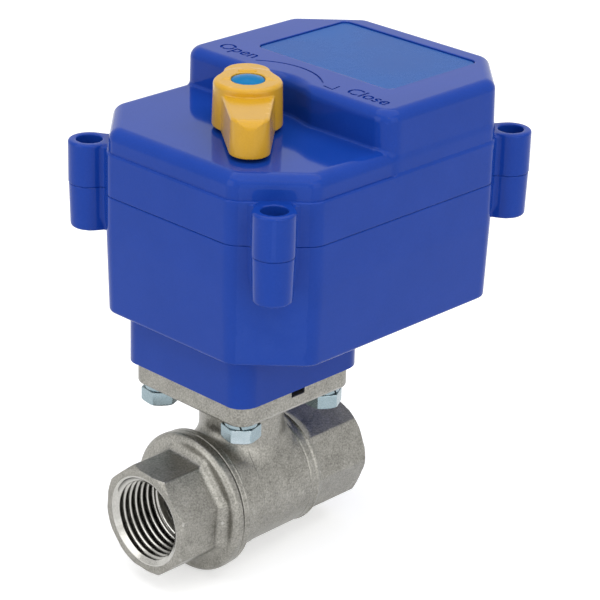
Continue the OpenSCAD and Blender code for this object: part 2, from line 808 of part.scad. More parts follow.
module flange_bolts() {
    head_z = flange_z - washer_t - bolt_head_h;
    corner_d = bolt_head_af * bolt_cone_share;
    color([0.72, 0.77, 0.82]) at_stem() for (p = bolt_points) translate(p) {
        intersection() {
            rotate(15) hex_rod(head_z, head_z + bolt_head_h, bolt_head_af);
            translate([0, 0, head_z]) union() {
                cylinder(d1 = bolt_head_af - bolt_cone_drop, d2 = corner_d, h = bolt_bevel);
                translate([0, 0, bolt_bevel]) cylinder(d = corner_d, h = bolt_head_h - bolt_bevel);
            }
        }
        rod(head_z + bolt_head_h - eps, head_z + bolt_head_h + bolt_len, bolt_d);
    }
}

module bolt_washers() {
    color([0.72, 0.77, 0.82]) at_stem() for (p = bolt_points) translate(p) difference() {
        rod(flange_z - washer_t, flange_z, washer_d);
        rod(flange_z - washer_t - spare, flange_z + spare, bolt_d + 2 * washer_gap);
        rotate(225) translate([0, -washer_split / 2, flange_z - washer_t - spare])
            cube([washer_d, washer_split, washer_t + 2 * spare]);
    }
}

module bolt_inserts() {
    color([0.83, 0.7, 0.36]) at_stem() for (p = bolt_points) translate(p) difference() {
        rod(flange_top, base_z - insert_drop, insert_d);
        rod(flange_top - spare, base_z, bolt_d + 2 * fit_gap);
    }
}

// Lug on a cut corner, with the web that joins it to the wall
// the boss's seam line is turned into the wall
module lug(frame, z0, z1, rise) {
    translate(frame[0]) rotate(frame[1]) {
        rotate(180) rod(z0, z1, lug_d);
        translate([-lug_out - wall_t / 2, -web_w / 2, z0 + rise])
            cube([lug_out + wall_t / 2, web_w, z1 - z0 - rise]);
    }
}

module base_housing() {
    boss_d = pillar_d + 2 * boss_rim;
    color([0.16, 0.27, 0.62]) at_stem() difference() {
        union() {
            loft([
                [base_z, housing_outline(base_draft + base_edge_r)],
                [base_z + base_edge_r * edge_share, housing_outline(base_draft + base_edge_r * edge_share)],
                [base_z + base_edge_r, housing_outline(base_draft)],
                [split_z - band_h, housing_outline(0)],
                [split_z, housing_outline(0)]]);
            soft_square(flange_top, base_z + spare, collar_w, collar_r);
            for (frame = lug_frames) lug(frame, split_z - base_lug_h, split_z, web_rise);
        }
        difference() {
            slab(floor_z, split_z + spare, housing_outline(wall_t + base_draft));
            for (p = pillar_points) translate(p) rod(base_z, lower_plate_z, boss_d);
        }
        rod(flange_top - spare, floor_z + spare, shaft_foot_d + 2 * run_gap);
        for (p = bolt_points) translate(p) {
            rod(flange_top - spare, base_z - insert_drop, insert_d + 2 * fit_gap);
        }
        for (p = pillar_points) translate(p)
            rod(floor_z - spare, lower_plate_z + spare, plate_screw_d + 2 * fit_gap);
        for (frame = lug_frames) translate(frame[0])
            rod(split_z + lug_floor_t - screw_len - screw_room, split_z + spare, screw_d + 2 * fit_gap);
        translate([0, 0, gland_z])
            pipe_rod(inner_front - 2 * spare, box_front + spare, gland_d + 2 * fit_gap);
    }
}

module cover_housing() {
    deck_inset = lip_w + deck_step;
    steps = 3;
    color([0.16, 0.27, 0.62]) at_stem() difference() {
        union() {
            slab(split_z, lip_z, housing_outline(0));
            loft(concat(
                [[lip_z - spare, housing_outline(deck_inset)]],
                [for (k = [0 : steps]) let (a = 90 * k / steps)
                    [deck_z - deck_edge_r * (1 - sin(a)),
                        housing_outline(deck_inset + deck_edge_r * (1 - cos(a)))]]));
            difference() {
                loft(concat(
                    [[lip_z - spare / 2, block_outline(lip_w, step_x)]],
                    [for (k = [0 : steps]) let (a = 90 * k / steps, drop = block_edge_r * (1 - sin(a)),
                        inset = block_edge_r * (1 - cos(a)))
                        [block_z - drop, block_outline(lip_w + block_draft + inset, step_x + inset)]]));
                rod(deck_z + eps, block_z + spare, 2 * scallop_r);
                translate([0, 0, block_z - block_edge_r])
                    cylinder(r1 = scallop_r, r2 = scallop_r + block_edge_r + spare, h = block_edge_r + spare);
            }
            for (frame = lug_frames) lug(frame, split_z, split_z + cover_lug_h, 0);
        }
        slab(split_z - spare, deck_z - wall_t, housing_outline(wall_t));
        slab(deck_z - wall_t - spare, block_z - wall_t, block_outline(wall_t + deck_inset,
            scallop_r + block_edge_r + wall_t / 2));
        slab(split_z - spare, gasket_z, housing_outline(gasket_inset));
        rod(deck_z - wall_t - spare, deck_z + spare, shaft_d + 2 * run_gap);
        rod(deck_z - wall_t - spare, deck_z - wall_t / 2, seal_d);
        for (frame = lug_frames) translate(frame[0]) {
            rod(split_z - spare, deck_z, screw_d + 2 * loose_gap);
            rod(split_z + lug_floor_t, deck_z, lug_hole_d);
        }
        slab(block_z - plate_drop - plate_t, block_z + spare, plate_outline(0));
    }
}

function plate_outline(inset) = box_outline(plate_x + inset, plate_x + plate_l - inset,
    plate_w / 2 - inset, plate_r - inset);

module housing_gasket() {
    color([0.1, 0.11, 0.14]) at_stem() difference() {
        slab(split_z, gasket_z, housing_outline(gasket_inset + fit_gap));
        slab(split_z - spare, gasket_z + spare, housing_outline(wall_t));
    }
}

module cover_screws() {
    seat_z = split_z + lug_floor_t;
    cross_l = screw_head_d * cross_share;
    color([0.75, 0.77, 0.78]) at_stem() for (frame = lug_frames) translate(frame[0]) difference() {
        union() {
            rod(seat_z, seat_z + screw_head_h, screw_head_d);
            rod(seat_z - screw_len, seat_z + eps, screw_d);
        }
        for (a = [0, 90]) rotate(a)
            translate([-cross_l / 2, -cross_w / 2, seat_z + screw_head_h - cross_depth])
                cube([cross_l, cross_w, 2 * cross_depth]);
    }
}

module rating_plate() {
    color([0.28, 0.45, 0.72]) at_stem()
        slab(block_z - plate_drop - plate_t, block_z - plate_drop, plate_outline(plate_gap));
}

// Turns the knob's own frame, with the lever along +X, to its place when open
module in_knob() {
    at_stem() rotate(knob_open_dir) children();
}

function lever_outline() = let (cx = lever_len - lever_tip_r)
    concat([[0, lever_root]], [for (a = [90 : -15 : -90]) [cx, 0] + polar(lever_tip_r, a)],
        [[0, -lever_root]]);

function pointer_outline() = let (cx = pointer_r - pointer_len)
    concat([[0, -pointer_r]], [for (a = [270 : -15 : 90]) [cx, 0] + polar(pointer_r, a)],
        [[0, pointer_r]]);

module knob() {
    cap_ledge_d = cap_d - 2 * cap_ledge;
    color([0.92, 0.68, 0.2]) in_knob() difference() {
        union() {
            rod(knob_z, knob_top - knob_rim, knob_d);
            translate([0, 0, knob_top - knob_rim])
                cylinder(d1 = knob_d, d2 = knob_d - 2 * knob_rim, h = knob_rim);
            slab(knob_z, knob_top - lever_drop, lever_outline());
            slab(knob_z, knob_top, pointer_outline());
        }
        rod(knob_z - spare, shaft_top + shaft_room, shaft_d + 2 * run_gap);
        rod(knob_z, knob_top + spare, rod_d + 2 * fit_gap);
        rod(screw_seat_z, knob_top + spare, cap_ledge_d);
        rod(cap_z, knob_top + spare, cap_d);
    }
}

module knob_cap() {
    rim_r = cap_d / 2 - fit_gap;
    dome_r = (pow(rim_r, 2) + pow(cap_rise, 2)) / (2 * cap_rise);
    color([0.12, 0.5, 0.75]) in_knob() {
        rod(cap_z, knob_top, 2 * rim_r);
        intersection() {
            translate([0, 0, knob_top + cap_rise - dome_r]) sphere(r = dome_r, $fn = 96);
            rod(knob_top - eps, knob_top + 2 * cap_rise, 2 * rim_r);
        }
    }
}

module knob_screw() {
    color([0.75, 0.77, 0.78]) in_knob() difference() {
        rod(screw_seat_z, screw_seat_z + knob_screw_t, knob_screw_d);
        rod(screw_seat_z - spare, screw_seat_z + rod_lap, rod_d + 2 * fit_gap);
        translate([-cap_d, -cross_w / 2, screw_seat_z + knob_screw_t - driver_depth])
            cube([2 * cap_d, cross_w, 2 * knob_screw_t]);
    }
}

module lift_rod() {
    color([0.75, 0.77, 0.78]) at_stem() difference() {
        rod(pin_z - pin_d, screw_seat_z + rod_lap, rod_d);
        translate([0, 0, pin_z]) rotate([90, 0, 0])
            cylinder(d = pin_neck_d + 2 * fit_gap, h = 2 * rod_d, center = true);
    }
}

module lift_pin() {
    end = clutch_d / 2 - groove_depth;
    neck = rod_d / 2 + pin_neck_room;
    color([0.75, 0.77, 0.78]) at_stem() translate([0, 0, pin_z]) rotate([90, 0, 0]) {
        cylinder(d = pin_neck_d, h = 2 * neck + loose_gap, center = true);
        for (s = sides) translate([0, 0, s * (end + neck) / 2])
            cylinder(d = pin_d, h = end - neck, center = true);
    }
}

// Four dogs below the ring drop into the slots of the output gear
module clutch_dogs(z0, z1, gap) {
    inner = shaft_seat_d / 2 + dog_inset;
    outer = clutch_d / 2 - dog_rim;
    for (a = [45 : 90 : 315]) rotate(a)
        translate([inner - gap, -dog_w / 2 - gap, z0])
            cube([outer - inner + 2 * gap, dog_w + 2 * gap, z1 - z0]);
}

module clutch_ring() {
    color([0.72, 0.6, 0.3]) at_stem() difference() {
        union() {
            rod(clutch_z, clutch_top, clutch_d);
            clutch_dogs(clutch_z - dog_h, clutch_z + eps, 0);
        }
        hex_rod(clutch_z - spare, clutch_top + spare, hex_af + 2 * key_gap);
        translate([0, 0, pin_z]) rotate([90, 0, 0])
            cylinder(d = pin_d + 2 * fit_gap, h = 2 * clutch_d, center = true);
    }
}

module clutch_spring() {
    coil_r = clutch_d / 2 - spring_inset;
    low = clutch_top + spring_wire / 2 + fit_gap;
    high = stop_z - spring_wire / 2 - fit_gap;
    steps = 16;
    color([0.7, 0.72, 0.74]) at_stem() translate([0, 0, low])
        tube(coil_path(coil_r, (high - low) / spring_turns, spring_turns, steps), spring_wire / 2);
}

module drive_shaft() {
    socket = stem_square + 2 * key_gap;
    slot_low = pin_z - pin_d / 2 - part_gap;
    color([0.78, 0.79, 0.8]) at_stem() difference() {
        union() {
            rod(shaft_foot_z, lower_plate_z, shaft_foot_d);
            rod(lower_plate_z - eps, gear_a_top, shaft_seat_d);
            hex_rod(gear_a_top - eps, stop_z, hex_af);
            rod(stop_z - eps, shaft_top, shaft_d);
        }
        translate([-socket / 2, -socket / 2, shaft_foot_z - spare])
            cube([socket, socket, stem_top + stem_room + spare - shaft_foot_z]);
        rod(pin_z - 2 * pin_d, shaft_top + spare, rod_d + 2 * run_gap);
        translate([-pin_d / 2 - fit_gap, -shaft_d, slot_low])
            cube([pin_d + 2 * fit_gap, 2 * shaft_d, pin_d + 2 * part_gap + lift_travel]);
        difference() {
            rod(stop_z, stop_z + stop_t, shaft_d + spare);
            rod(stop_z, stop_z + stop_t, groove_d);
        }
    }
}

module stop_clip() {
    color([0.75, 0.77, 0.78]) at_stem() difference() {
        rod(stop_z, stop_z + stop_t, clutch_d - 2 * groove_depth);
        rod(stop_z - spare, stop_z + stop_t + spare, groove_d + 2 * fit_gap);
        translate([0, -groove_d / 2, stop_z - spare]) cube([clutch_d, groove_d, stop_t + 2 * spare]);
    }
}

module gear_body(m, teeth, z0, z1, turn) {
    rotate(turn) slab(z0, z1, gear_points(m, teeth));
}

module output_gear() {
    color([0.88, 0.86, 0.78]) at_stem() difference() {
        union() {
            gear_body(module_a, teeth_out, gear_a_z, gear_a_top, 0);
            rod(lower_plate_top + fit_gap, gear_a_z + eps, clutch_d);
        }
        rod(lower_plate_z, gear_a_top + spare, shaft_seat_d + 2 * run_gap);
        clutch_dogs(gear_a_top - dog_h, gear_a_top + spare, dog_gap);
    }
}

module shaft_seal() {
    low = deck_z - wall_t;
    color([0.12, 0.12, 0.13]) at_stem() difference() {
        rod(low, deck_z - wall_t / 2, seal_d - 2 * fit_gap);
        rod(low - spare, deck_z, shaft_d + 2 * run_gap);
    }
}

module gear_plate(z, shaft_hole_d) {
    inset = wall_t + base_draft + gear_plate_gap;
    difference() {
        slab(z, z + gear_plate_t, housing_outline(inset));
        rod(z - spare, z + gear_plate_t + spare, shaft_hole_d);
        for (p = pillar_points) translate(p)
            rod(z - spare, z + gear_plate_t + spare, plate_screw_d + 2 * fit_gap);
        for (p = [first_pos, second_pos]) translate(p)
            rod(z - spare, z + gear_plate_t + spare, axle_d + 2 * fit_gap);
        children();
    }
}

module lower_plate() {
    color([0.66, 0.68, 0.7]) at_stem() gear_plate(lower_plate_z, shaft_seat_d + 2 * run_gap);
}

module upper_plate() {
    low = upper_plate_z - spare;
    high = upper_plate_top + spare;
    color([0.66, 0.68, 0.7]) at_stem() gear_plate(upper_plate_z, clutch_d + spare) {
        translate(motor_pos) rod(low, high, motor_boss_d + 2 * fit_gap);
        for (p = motor_screw_points) translate(p) rod(low, high, plate_screw_d + 2 * fit_gap);
        for (p = board_points) translate(p) rod(low, high, plate_screw_d + 2 * fit_gap);
    }
}

module plate_pillars() {
    low = lower_plate_top;
    color([0.78, 0.79, 0.8]) at_stem() for (p = pillar_points) translate(p) difference() {
        rod(low, upper_plate_z, pillar_d);
        rod(low - spare, upper_plate_z + spare, plate_screw_d + 2 * fit_gap);
    }
}

module plate_screws() {
    color([0.75, 0.77, 0.78]) at_stem() for (p = pillar_points) translate(p) {
        rod(floor_z - screw_reach, upper_plate_top + eps, plate_screw_d);
        rod(upper_plate_top, upper_plate_top + plate_head_h, pillar_d);
    }
}

module idler(pos, m_gear, teeth, gear_z, gear_t, gear_dir, m_pinion, pinion_z, pinion_dir) {
    at_stem() translate(pos) difference() {
        union() {
            gear_body(m_gear, teeth, gear_z, gear_z + gear_t, gear_dir);
            gear_body(m_pinion, teeth_pinion, pinion_z, gear_z + eps, pinion_dir + 180 + half_tooth);
            rod(lower_plate_top + fit_gap, pinion_z + eps, axle_d + 2 * hub_wall);
        }
        rod(lower_plate_z, gear_z + gear_t + spare, axle_d + 2 * run_gap);
    }
}

module first_idler() {
    color([0.88, 0.86, 0.78])
        idler(first_pos, module_b, teeth_b, gear_b_z, gear_b_t, second_dir, module_a, gear_a_z, 0);
}

module second_idler() {
    color([0.88, 0.86, 0.78])
        idler(second_pos, module_c, teeth_c, gear_c_z, gear_c_t, motor_dir, module_b, gear_b_z,
            second_dir);
}

module axle(pos) {
    color([0.78, 0.79, 0.8]) at_stem() translate(pos) rod(lower_plate_z, upper_plate_top, axle_d);
}

module first_axle() {
    axle(first_pos);
}

module second_axle() {
    axle(second_pos);
}

module motor_can() {
    color([0.7, 0.71, 0.72]) at_stem() translate(motor_pos) difference() {
        union() {
            rod(upper_plate_top, upper_plate_top + motor_len, motor_d);
            rod(upper_plate_z, upper_plate_top + eps, motor_boss_d);
        }
        rod(upper_plate_z - spare, upper_plate_top + motor_hole + motor_shaft_room,
            motor_shaft_d + 2 * run_gap);
        for (s = sides) translate([0, s * motor_screw_span / 2, 0])
            rod(upper_plate_z - spare, upper_plate_top + motor_hole + motor_screw_room,
                plate_screw_d + 2 * fit_gap);
    }
}

module motor_cap() {
    z = upper_plate_top + motor_len;
    tab = [motor_tab_w, motor_tab_t, motor_tab_h];
    color([0.15, 0.15, 0.16]) at_stem() translate(motor_pos) {
        rod(z, z + motor_cap_t, motor_d - 2 * motor_cap_t);
        for (s = sides) translate([s * motor_d / 4 - tab[0] / 2, -tab[1] / 2, z + eps]) cube(tab);
    }
}

module motor_screws() {
    color([0.75, 0.77, 0.78]) at_stem() for (p = motor_screw_points) translate(p) {
        rod(upper_plate_z - eps, upper_plate_top + motor_hole, plate_screw_d);
        rod(upper_plate_z - motor_head_h, upper_plate_z, plate_screw_d + 2 * motor_head_rim);
    }
}

module motor_shaft() {
    color([0.78, 0.79, 0.8]) at_stem() translate(motor_pos)
        rod(gear_c_z, upper_plate_top + motor_hole + spare, motor_shaft_d);
}

module motor_pinion() {
    top = gear_c_z + gear_c_t + pinion_lap;
    color([0.8, 0.68, 0.35]) at_stem() translate(motor_pos) difference() {
        gear_body(module_c, teeth_pinion, gear_c_z, top, motor_dir + 180 + half_tooth);
        rod(gear_c_z - spare, top + spare, motor_shaft_d + 2 * fit_gap);
    }
}

module limit_cam() {
    color([0.9, 0.9, 0.88]) at_stem() difference() {
        union() {
            rod(cam_z, cam_z + cam_h, cam_d);
            for (a = [0, 90]) rotate(a)
                translate([cam_d / 2 - lobe_w / 2, -lobe_w / 2, cam_z])
                    cube([lobe_w / 2 + cam_rise, lobe_w, cam_h]);
        }
        rod(cam_z - spare, cam_z + cam_h + spare, shaft_d + 2 * fit_gap);
    }
}

module circuit_board() {
    color([0.1, 0.4, 0.22]) at_stem() difference() {
        slab(board_z, board_top, box_outline(board_x, board_x + board_l, board_w / 2, board_r));
        rod(board_z - spare, board_top + spare, board_hole_d);
        for (p = board_points) translate(p)
            rod(board_z - spare, board_top + spare, plate_screw_d + 2 * fit_gap);
    }
}

module board_spacers() {
    color([0.85, 0.85, 0.82]) at_stem() for (p = board_points) translate(p) {
        rod(upper_plate_top, board_z, pillar_d);
        rod(upper_plate_z, board_top + spare, plate_screw_d);
    }
}

// Two small switches, one each side of the cam, stand on the board
module limit_switches() {
    color([0.13, 0.13, 0.14]) at_stem() for (s = sides)
        translate([-switch_l / 2, s > 0 ? switch_y : -switch_y - switch_w, board_top])
            cube([switch_l, switch_w, switch_h]);
}

module switch_plungers() {
    reach = switch_y - switch_points[1][1];
    color([0.85, 0.2, 0.15]) at_stem() for (p = switch_points)
        translate([p[0], p[1], cam_z + cam_h / 2]) rotate([p[1] > 0 ? -90 : 90, 0, 0])
            cylinder(d = plunger_d, h = reach);
}

module board_terminals() {
    width = 2 * terminal_pitch + terminal_l;
    color([0.2, 0.55, 0.3]) at_stem()
        translate([board_x + board_l - terminal_l - spare, -width / 2, board_top]) difference() {
            cube([terminal_l, width, terminal_h]);
            for (k = [0 : 2]) translate([terminal_l / 2, terminal_l / 2 + terminal_pitch * k, terminal_d])
                cylinder(d = terminal_d, h = terminal_h);
        }
}

module hex_along(x0, x1, af) {
    along_pipe(x0) cylinder(d = af / cos(30), h = x1 - x0, $fn = 6);
}

module cable_gland() {
    tip_x = box_front + gland_out;
    color([0.12, 0.12, 0.13]) at_stem() translate([0, 0, gland_z]) difference() {
        union() {
            pipe_rod(inner_front - inner_nut_w - spare, box_front, gland_d);
            rotate([90, 0, 0]) hex_along(box_front, box_front + gland_hex_w, gland_af);
            pipe_rod(box_front + gland_hex_w / 2, tip_x, gland_d + 2 * gland_rim);
        }
        pipe_rod(tip_x - gland_grip - eps, tip_x + spare, gland_bore);
        pipe_rod(inner_front - inner_nut_w - 2 * spare, tip_x - gland_grip, gland_passage);
    }
}

module inner_nut() {
    seat_x = inner_front - base_draft;
    color([0.12, 0.12, 0.13]) at_stem() translate([0, 0, gland_z]) difference() {
        rotate([90, 0, 0]) hex_along(seat_x - inner_nut_w, seat_x, gland_af);
        pipe_rod(seat_x - inner_nut_w - spare, seat_x + spare, gland_d + 2 * fit_gap);
    }
}

valve_body();
inlet_end();
end_gasket();
ball();
inlet_seat();
outlet_seat();
stem();
stem_washer();
stem_packing();
gland_nut();
flange_bolts();
bolt_washers();
bolt_inserts();
base_housing();
cover_housing();
housing_gasket();
cover_screws();
rating_plate();
knob();
knob_cap();
knob_screw();
lift_rod();
lift_pin();
clutch_ring();
clutch_spring();
stop_clip();
drive_shaft();
output_gear();
shaft_seal();
lower_plate();
upper_plate();
plate_pillars();
plate_screws();
first_idler();
second_idler();
first_axle();
second_axle();
motor_can();
motor_cap();
motor_screws();
motor_shaft();
motor_pinion();
limit_cam();
circuit_board();
limit_switches();
switch_plungers();
board_terminals();
board_spacers();
cable_gland();
inner_nut();
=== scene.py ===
# Looks for the motorized ball valve: studio, materials and the finished outer pieces.
# Shapes are worked out in millimetres round the stem axis, then moved to the part's frame in metres.
import json
import math

import bpy
import bmesh
import numpy as np
from mathutils import Matrix, Vector


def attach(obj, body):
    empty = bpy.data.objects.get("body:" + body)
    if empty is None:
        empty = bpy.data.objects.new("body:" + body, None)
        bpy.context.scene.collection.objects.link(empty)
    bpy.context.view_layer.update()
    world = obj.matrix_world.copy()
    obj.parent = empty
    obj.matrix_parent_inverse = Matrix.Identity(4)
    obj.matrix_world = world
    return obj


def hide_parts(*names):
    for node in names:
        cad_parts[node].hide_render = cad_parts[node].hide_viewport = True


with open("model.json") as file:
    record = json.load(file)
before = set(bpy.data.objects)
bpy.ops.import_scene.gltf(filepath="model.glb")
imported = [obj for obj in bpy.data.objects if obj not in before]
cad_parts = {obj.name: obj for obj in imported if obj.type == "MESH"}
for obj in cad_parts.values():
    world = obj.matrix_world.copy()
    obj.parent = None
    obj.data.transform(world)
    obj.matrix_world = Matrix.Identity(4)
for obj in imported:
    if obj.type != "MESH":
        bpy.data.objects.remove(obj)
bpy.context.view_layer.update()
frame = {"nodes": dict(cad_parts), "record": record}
cadNodes = frame["nodes"]
stemX = 31.0  # inlet face to stem axis, mm
stemAt = np.array([stemX, 0, 0])
print("frame loaded:", len(cadNodes), "nodes")


# camera, floor and lamps
studioLook = {
    "eye": (-0.3327, -0.3657, 0.2721),
    "forward": (0.6622, 0.6332, -0.4003),
    "rollDegrees": 1.683,
    "lens": 146.47,
    "floorZ": -0.0176,
    "floorReach": 3.0,
    "floorTone": 0.8,
    "floorGlow": 0.5,
    "floorRough": 0.9,
    "worldLevel": 0.36,
    "backdropLevel": 1.0,
}
lampLooks = [
    {"name": "skyPanel", "at": (0.05, -0.05, 0.85), "aim": (0.045, 0, 0.05), "size": 1.3, "watts": 7.8},
    {"name": "frontPanel", "at": (-0.5, -0.62, 0.36), "aim": (0.045, 0, 0.06), "size": 1.0, "watts": 1.05},
    {"name": "rightPanel", "at": (0.0, -0.8, 0.30), "aim": (0.045, 0, 0.05), "size": 0.6, "watts": 1.45},
    {"name": "leftPanel", "at": (-0.75, 0.15, 0.30), "aim": (0.045, 0, 0.03), "size": 0.6, "watts": 2.0},
    {"name": "glintLamp", "at": (-0.42, -0.66, 0.62), "aim": (0.045, 0, 0.05), "size": 0.12, "watts": 0.35},
]


def addToScene(name, data):
    made = bpy.data.objects.new(name, data)
    bpy.context.scene.collection.objects.link(made)
    return made


def makeCamera(look):
    data = bpy.data.cameras.new("photoCamera")
    data.lens = look["lens"]
    data.sensor_width = 36
    data.clip_start = 0.01
    camera = addToScene("photoCamera", data)
    forward = Vector(look["forward"]).normalized()
    side = forward.cross(Vector((0, 0, 1))).normalized()
    up = side.cross(forward)
    roll = math.radians(look["rollDegrees"])
    right = side * math.cos(roll) + up * math.sin(roll)
    top = up * math.cos(roll) - side * math.sin(roll)
    turn = Matrix((right, top, -forward)).transposed().to_4x4()
    camera.matrix_world = Matrix.Translation(look["eye"]) @ turn
    bpy.context.scene.camera = camera


def makeLamp(look):
    data = bpy.data.lights.new(look["name"], "AREA")
    data.shape = "SQUARE"
    data.size = look["size"]
    data.energy = look["watts"]
    lamp = addToScene(look["name"], data)
    aim = Vector(look["aim"]) - Vector(look["at"])
    lamp.matrix_world = Matrix.Translation(look["at"]) @ aim.to_track_quat("-Z", "Y").to_matrix().to_4x4()


def newTree(name):
    material = bpy.data.materials.new(name)
    material.use_nodes = True
    material.node_tree.nodes.clear()
    return material, material.node_tree


def addNode(tree, kind, inputs=None, **settings):
    node = tree.nodes.new(kind)
    for key, value in settings.items():
        setattr(node, key, value)
    for key, value in (inputs or {}).items():
        if isinstance(value, bpy.types.NodeSocket):
            tree.links.new(value, node.inputs[key])
        else:
            node.inputs[key].default_value = value
    return node


def calculate(tree, operation, *values, **settings):
    return addNode(tree, "ShaderNodeMath", dict(enumerate(values)), operation=operation, **settings).outputs[0]


def mixColours(tree, factor, first, second):
    mix = addNode(tree, "ShaderNodeMix", {0: factor}, data_type="RGBA")
    sockets = [socket for socket in mix.inputs if socket.type == "RGBA"]
    for socket, colour in zip(sockets, (first, second)):
        if isinstance(colour, bpy.types.NodeSocket):
            tree.links.new(colour, socket)
        else:
            socket.default_value = (*colour, 1)
    return next(socket for socket in mix.outputs if socket.type == "RGBA")


def seenDirectly(tree):
    path = addNode(tree, "ShaderNodeLightPath")
    first = calculate(tree, "MAXIMUM", path.outputs["Is Camera Ray"], path.outputs["Is Glossy Ray"])
    return calculate(tree, "MAXIMUM", first, path.outputs["Is Transmission Ray"])


def makeStudio(look):
    world = bpy.data.worlds.new("studioWhite")
    world.use_nodes = True
    tree = world.node_tree
    tree.nodes.clear()
    level = addNode(tree, "ShaderNodeMix", {"Factor": seenDirectly(tree), "A": look["worldLevel"],
                                            "B": look["backdropLevel"]}, data_type="FLOAT")
    sky = addNode(tree, "ShaderNodeBackground", {"Color": (1, 1, 1, 1), "Strength": level.outputs["Result"]})
    out = addNode(tree, "ShaderNodeOutputWorld")
    tree.links.new(sky.outputs[0], out.inputs["Surface"])
    bpy.context.scene.world = world

    paint, tree = newTree("floorPaper")
    body = addNode(tree, "ShaderNodeBsdfPrincipled", {"Base Color": (look["floorTone"],) * 3 + (1,),
                                                      "Roughness": look["floorRough"]})
    strength = calculate(tree, "MULTIPLY", seenDirectly(tree), look["floorGlow"])
    glow = addNode(tree, "ShaderNodeEmission", {"Color": (1, 1, 1, 1), "Strength": strength})
    both = addNode(tree, "ShaderNodeAddShader")
    tree.links.new(body.outputs[0], both.inputs[0])
    tree.links.new(glow.outputs[0], both.inputs[1])
    out = addNode(tree, "ShaderNodeOutputMaterial")
    tree.links.new(both.outputs[0], out.inputs["Surface"])
    mesh = bpy.data.meshes.new("studioFloor")
    r, z = look["floorReach"], look["floorZ"]
    mesh.from_pydata([(-r, -r, z), (r, -r, z), (r, r, z), (-r, r, z)], [], [(0, 1, 2, 3)])
    mesh.materials.append(paint)
    floor = addToScene("studioFloor", mesh)


makeCamera(studioLook)
makeStudio(studioLook)
for lampLook in lampLooks:
    makeLamp(lampLook)
bpy.context.scene.view_settings.view_transform = "Standard"
print("studio ready")


# shader groups shared by the finishes
def newGroup(name, colours, numbers, outputs):
    group = bpy.data.node_groups.new(name, "ShaderNodeTree")
    for label in colours:
        group.interface.new_socket(label, in_out="INPUT", socket_type="NodeSocketColor")
    for label, value in numbers.items():
        group.interface.new_socket(label, in_out="INPUT", socket_type="NodeSocketFloat").default_value = value
    for label in outputs:
        kind = "NodeSocketColor" if label == "Colour" else "NodeSocketFloat"
        group.interface.new_socket(label, in_out="OUTPUT", socket_type=kind)
    return group, group.nodes.new("NodeGroupInput"), group.nodes.new("NodeGroupOutput")


def makeSurfaceGrain():
    group, entry, leave = newGroup("surfaceGrain", ["Colour A", "Colour B"], {
        "Fine Scale": 4000.0, "Broad Scale": 120.0, "Fine Share": 0.7, "Rough Low": 0.2, "Rough High": 0.4},
        ["Height", "Colour", "Roughness"])
    point = addNode(group, "ShaderNodeTexCoord").outputs["Object"]
    fine = addNode(group, "ShaderNodeTexNoise", {"Vector": point, "Scale": entry.outputs["Fine Scale"],
                                                 "Detail": 3.0, "Roughness": 0.6})
    broad = addNode(group, "ShaderNodeTexNoise", {"Vector": point, "Scale": entry.outputs["Broad Scale"],
                                                  "Detail": 4.0, "Roughness": 0.55})
    both = addNode(group, "ShaderNodeMix", {"Factor": entry.outputs["Fine Share"], "A": broad.outputs["Fac"],
                                            "B": fine.outputs["Fac"]}, data_type="FLOAT")
    wide = addNode(group, "ShaderNodeMapRange", {"Value": both.outputs["Result"], "From Min": 0.32,
                                                 "From Max": 0.68})
    tint = mixColours(group, wide.outputs[0], entry.outputs["Colour A"], entry.outputs["Colour B"])
    rough = addNode(group, "ShaderNodeMapRange", {"Value": both.outputs["Result"], "From Min": 0.3, "From Max": 0.7,
                                                  "To Min": entry.outputs["Rough Low"],
                                                  "To Max": entry.outputs["Rough High"]})
    group.links.new(both.outputs["Result"], leave.inputs["Height"])
    group.links.new(tint, leave.inputs["Colour"])
    group.links.new(rough.outputs[0], leave.inputs["Roughness"])
    return group


def makeEdgeWear():
    group, entry, leave = newGroup("edgeWear", ["Colour", "Worn Colour"], {
        "Low": 0.53, "High": 0.62, "Amount": 0.5}, ["Colour"])
    crest = addNode(group, "ShaderNodeNewGeometry").outputs["Pointiness"]
    point = addNode(group, "ShaderNodeTexCoord").outputs["Object"]
    patchy = addNode(group, "ShaderNodeTexNoise", {"Vector": point, "Scale": 300.0, "Detail": 3.0})
    edge = addNode(group, "ShaderNodeMapRange", {"Value": crest, "From Min": entry.outputs["Low"],
                                                 "From Max": entry.outputs["High"]})
    broken = calculate(group, "MULTIPLY", edge.outputs[0], patchy.outputs["Fac"])
    mask = calculate(group, "MULTIPLY", broken, entry.outputs["Amount"], use_clamp=True)
    tint = mixColours(group, mask, entry.outputs["Colour"], entry.outputs["Worn Colour"])
    group.links.new(tint, leave.inputs["Colour"])
    return group


surfaceGrain = makeSurfaceGrain()
edgeWear = makeEdgeWear()


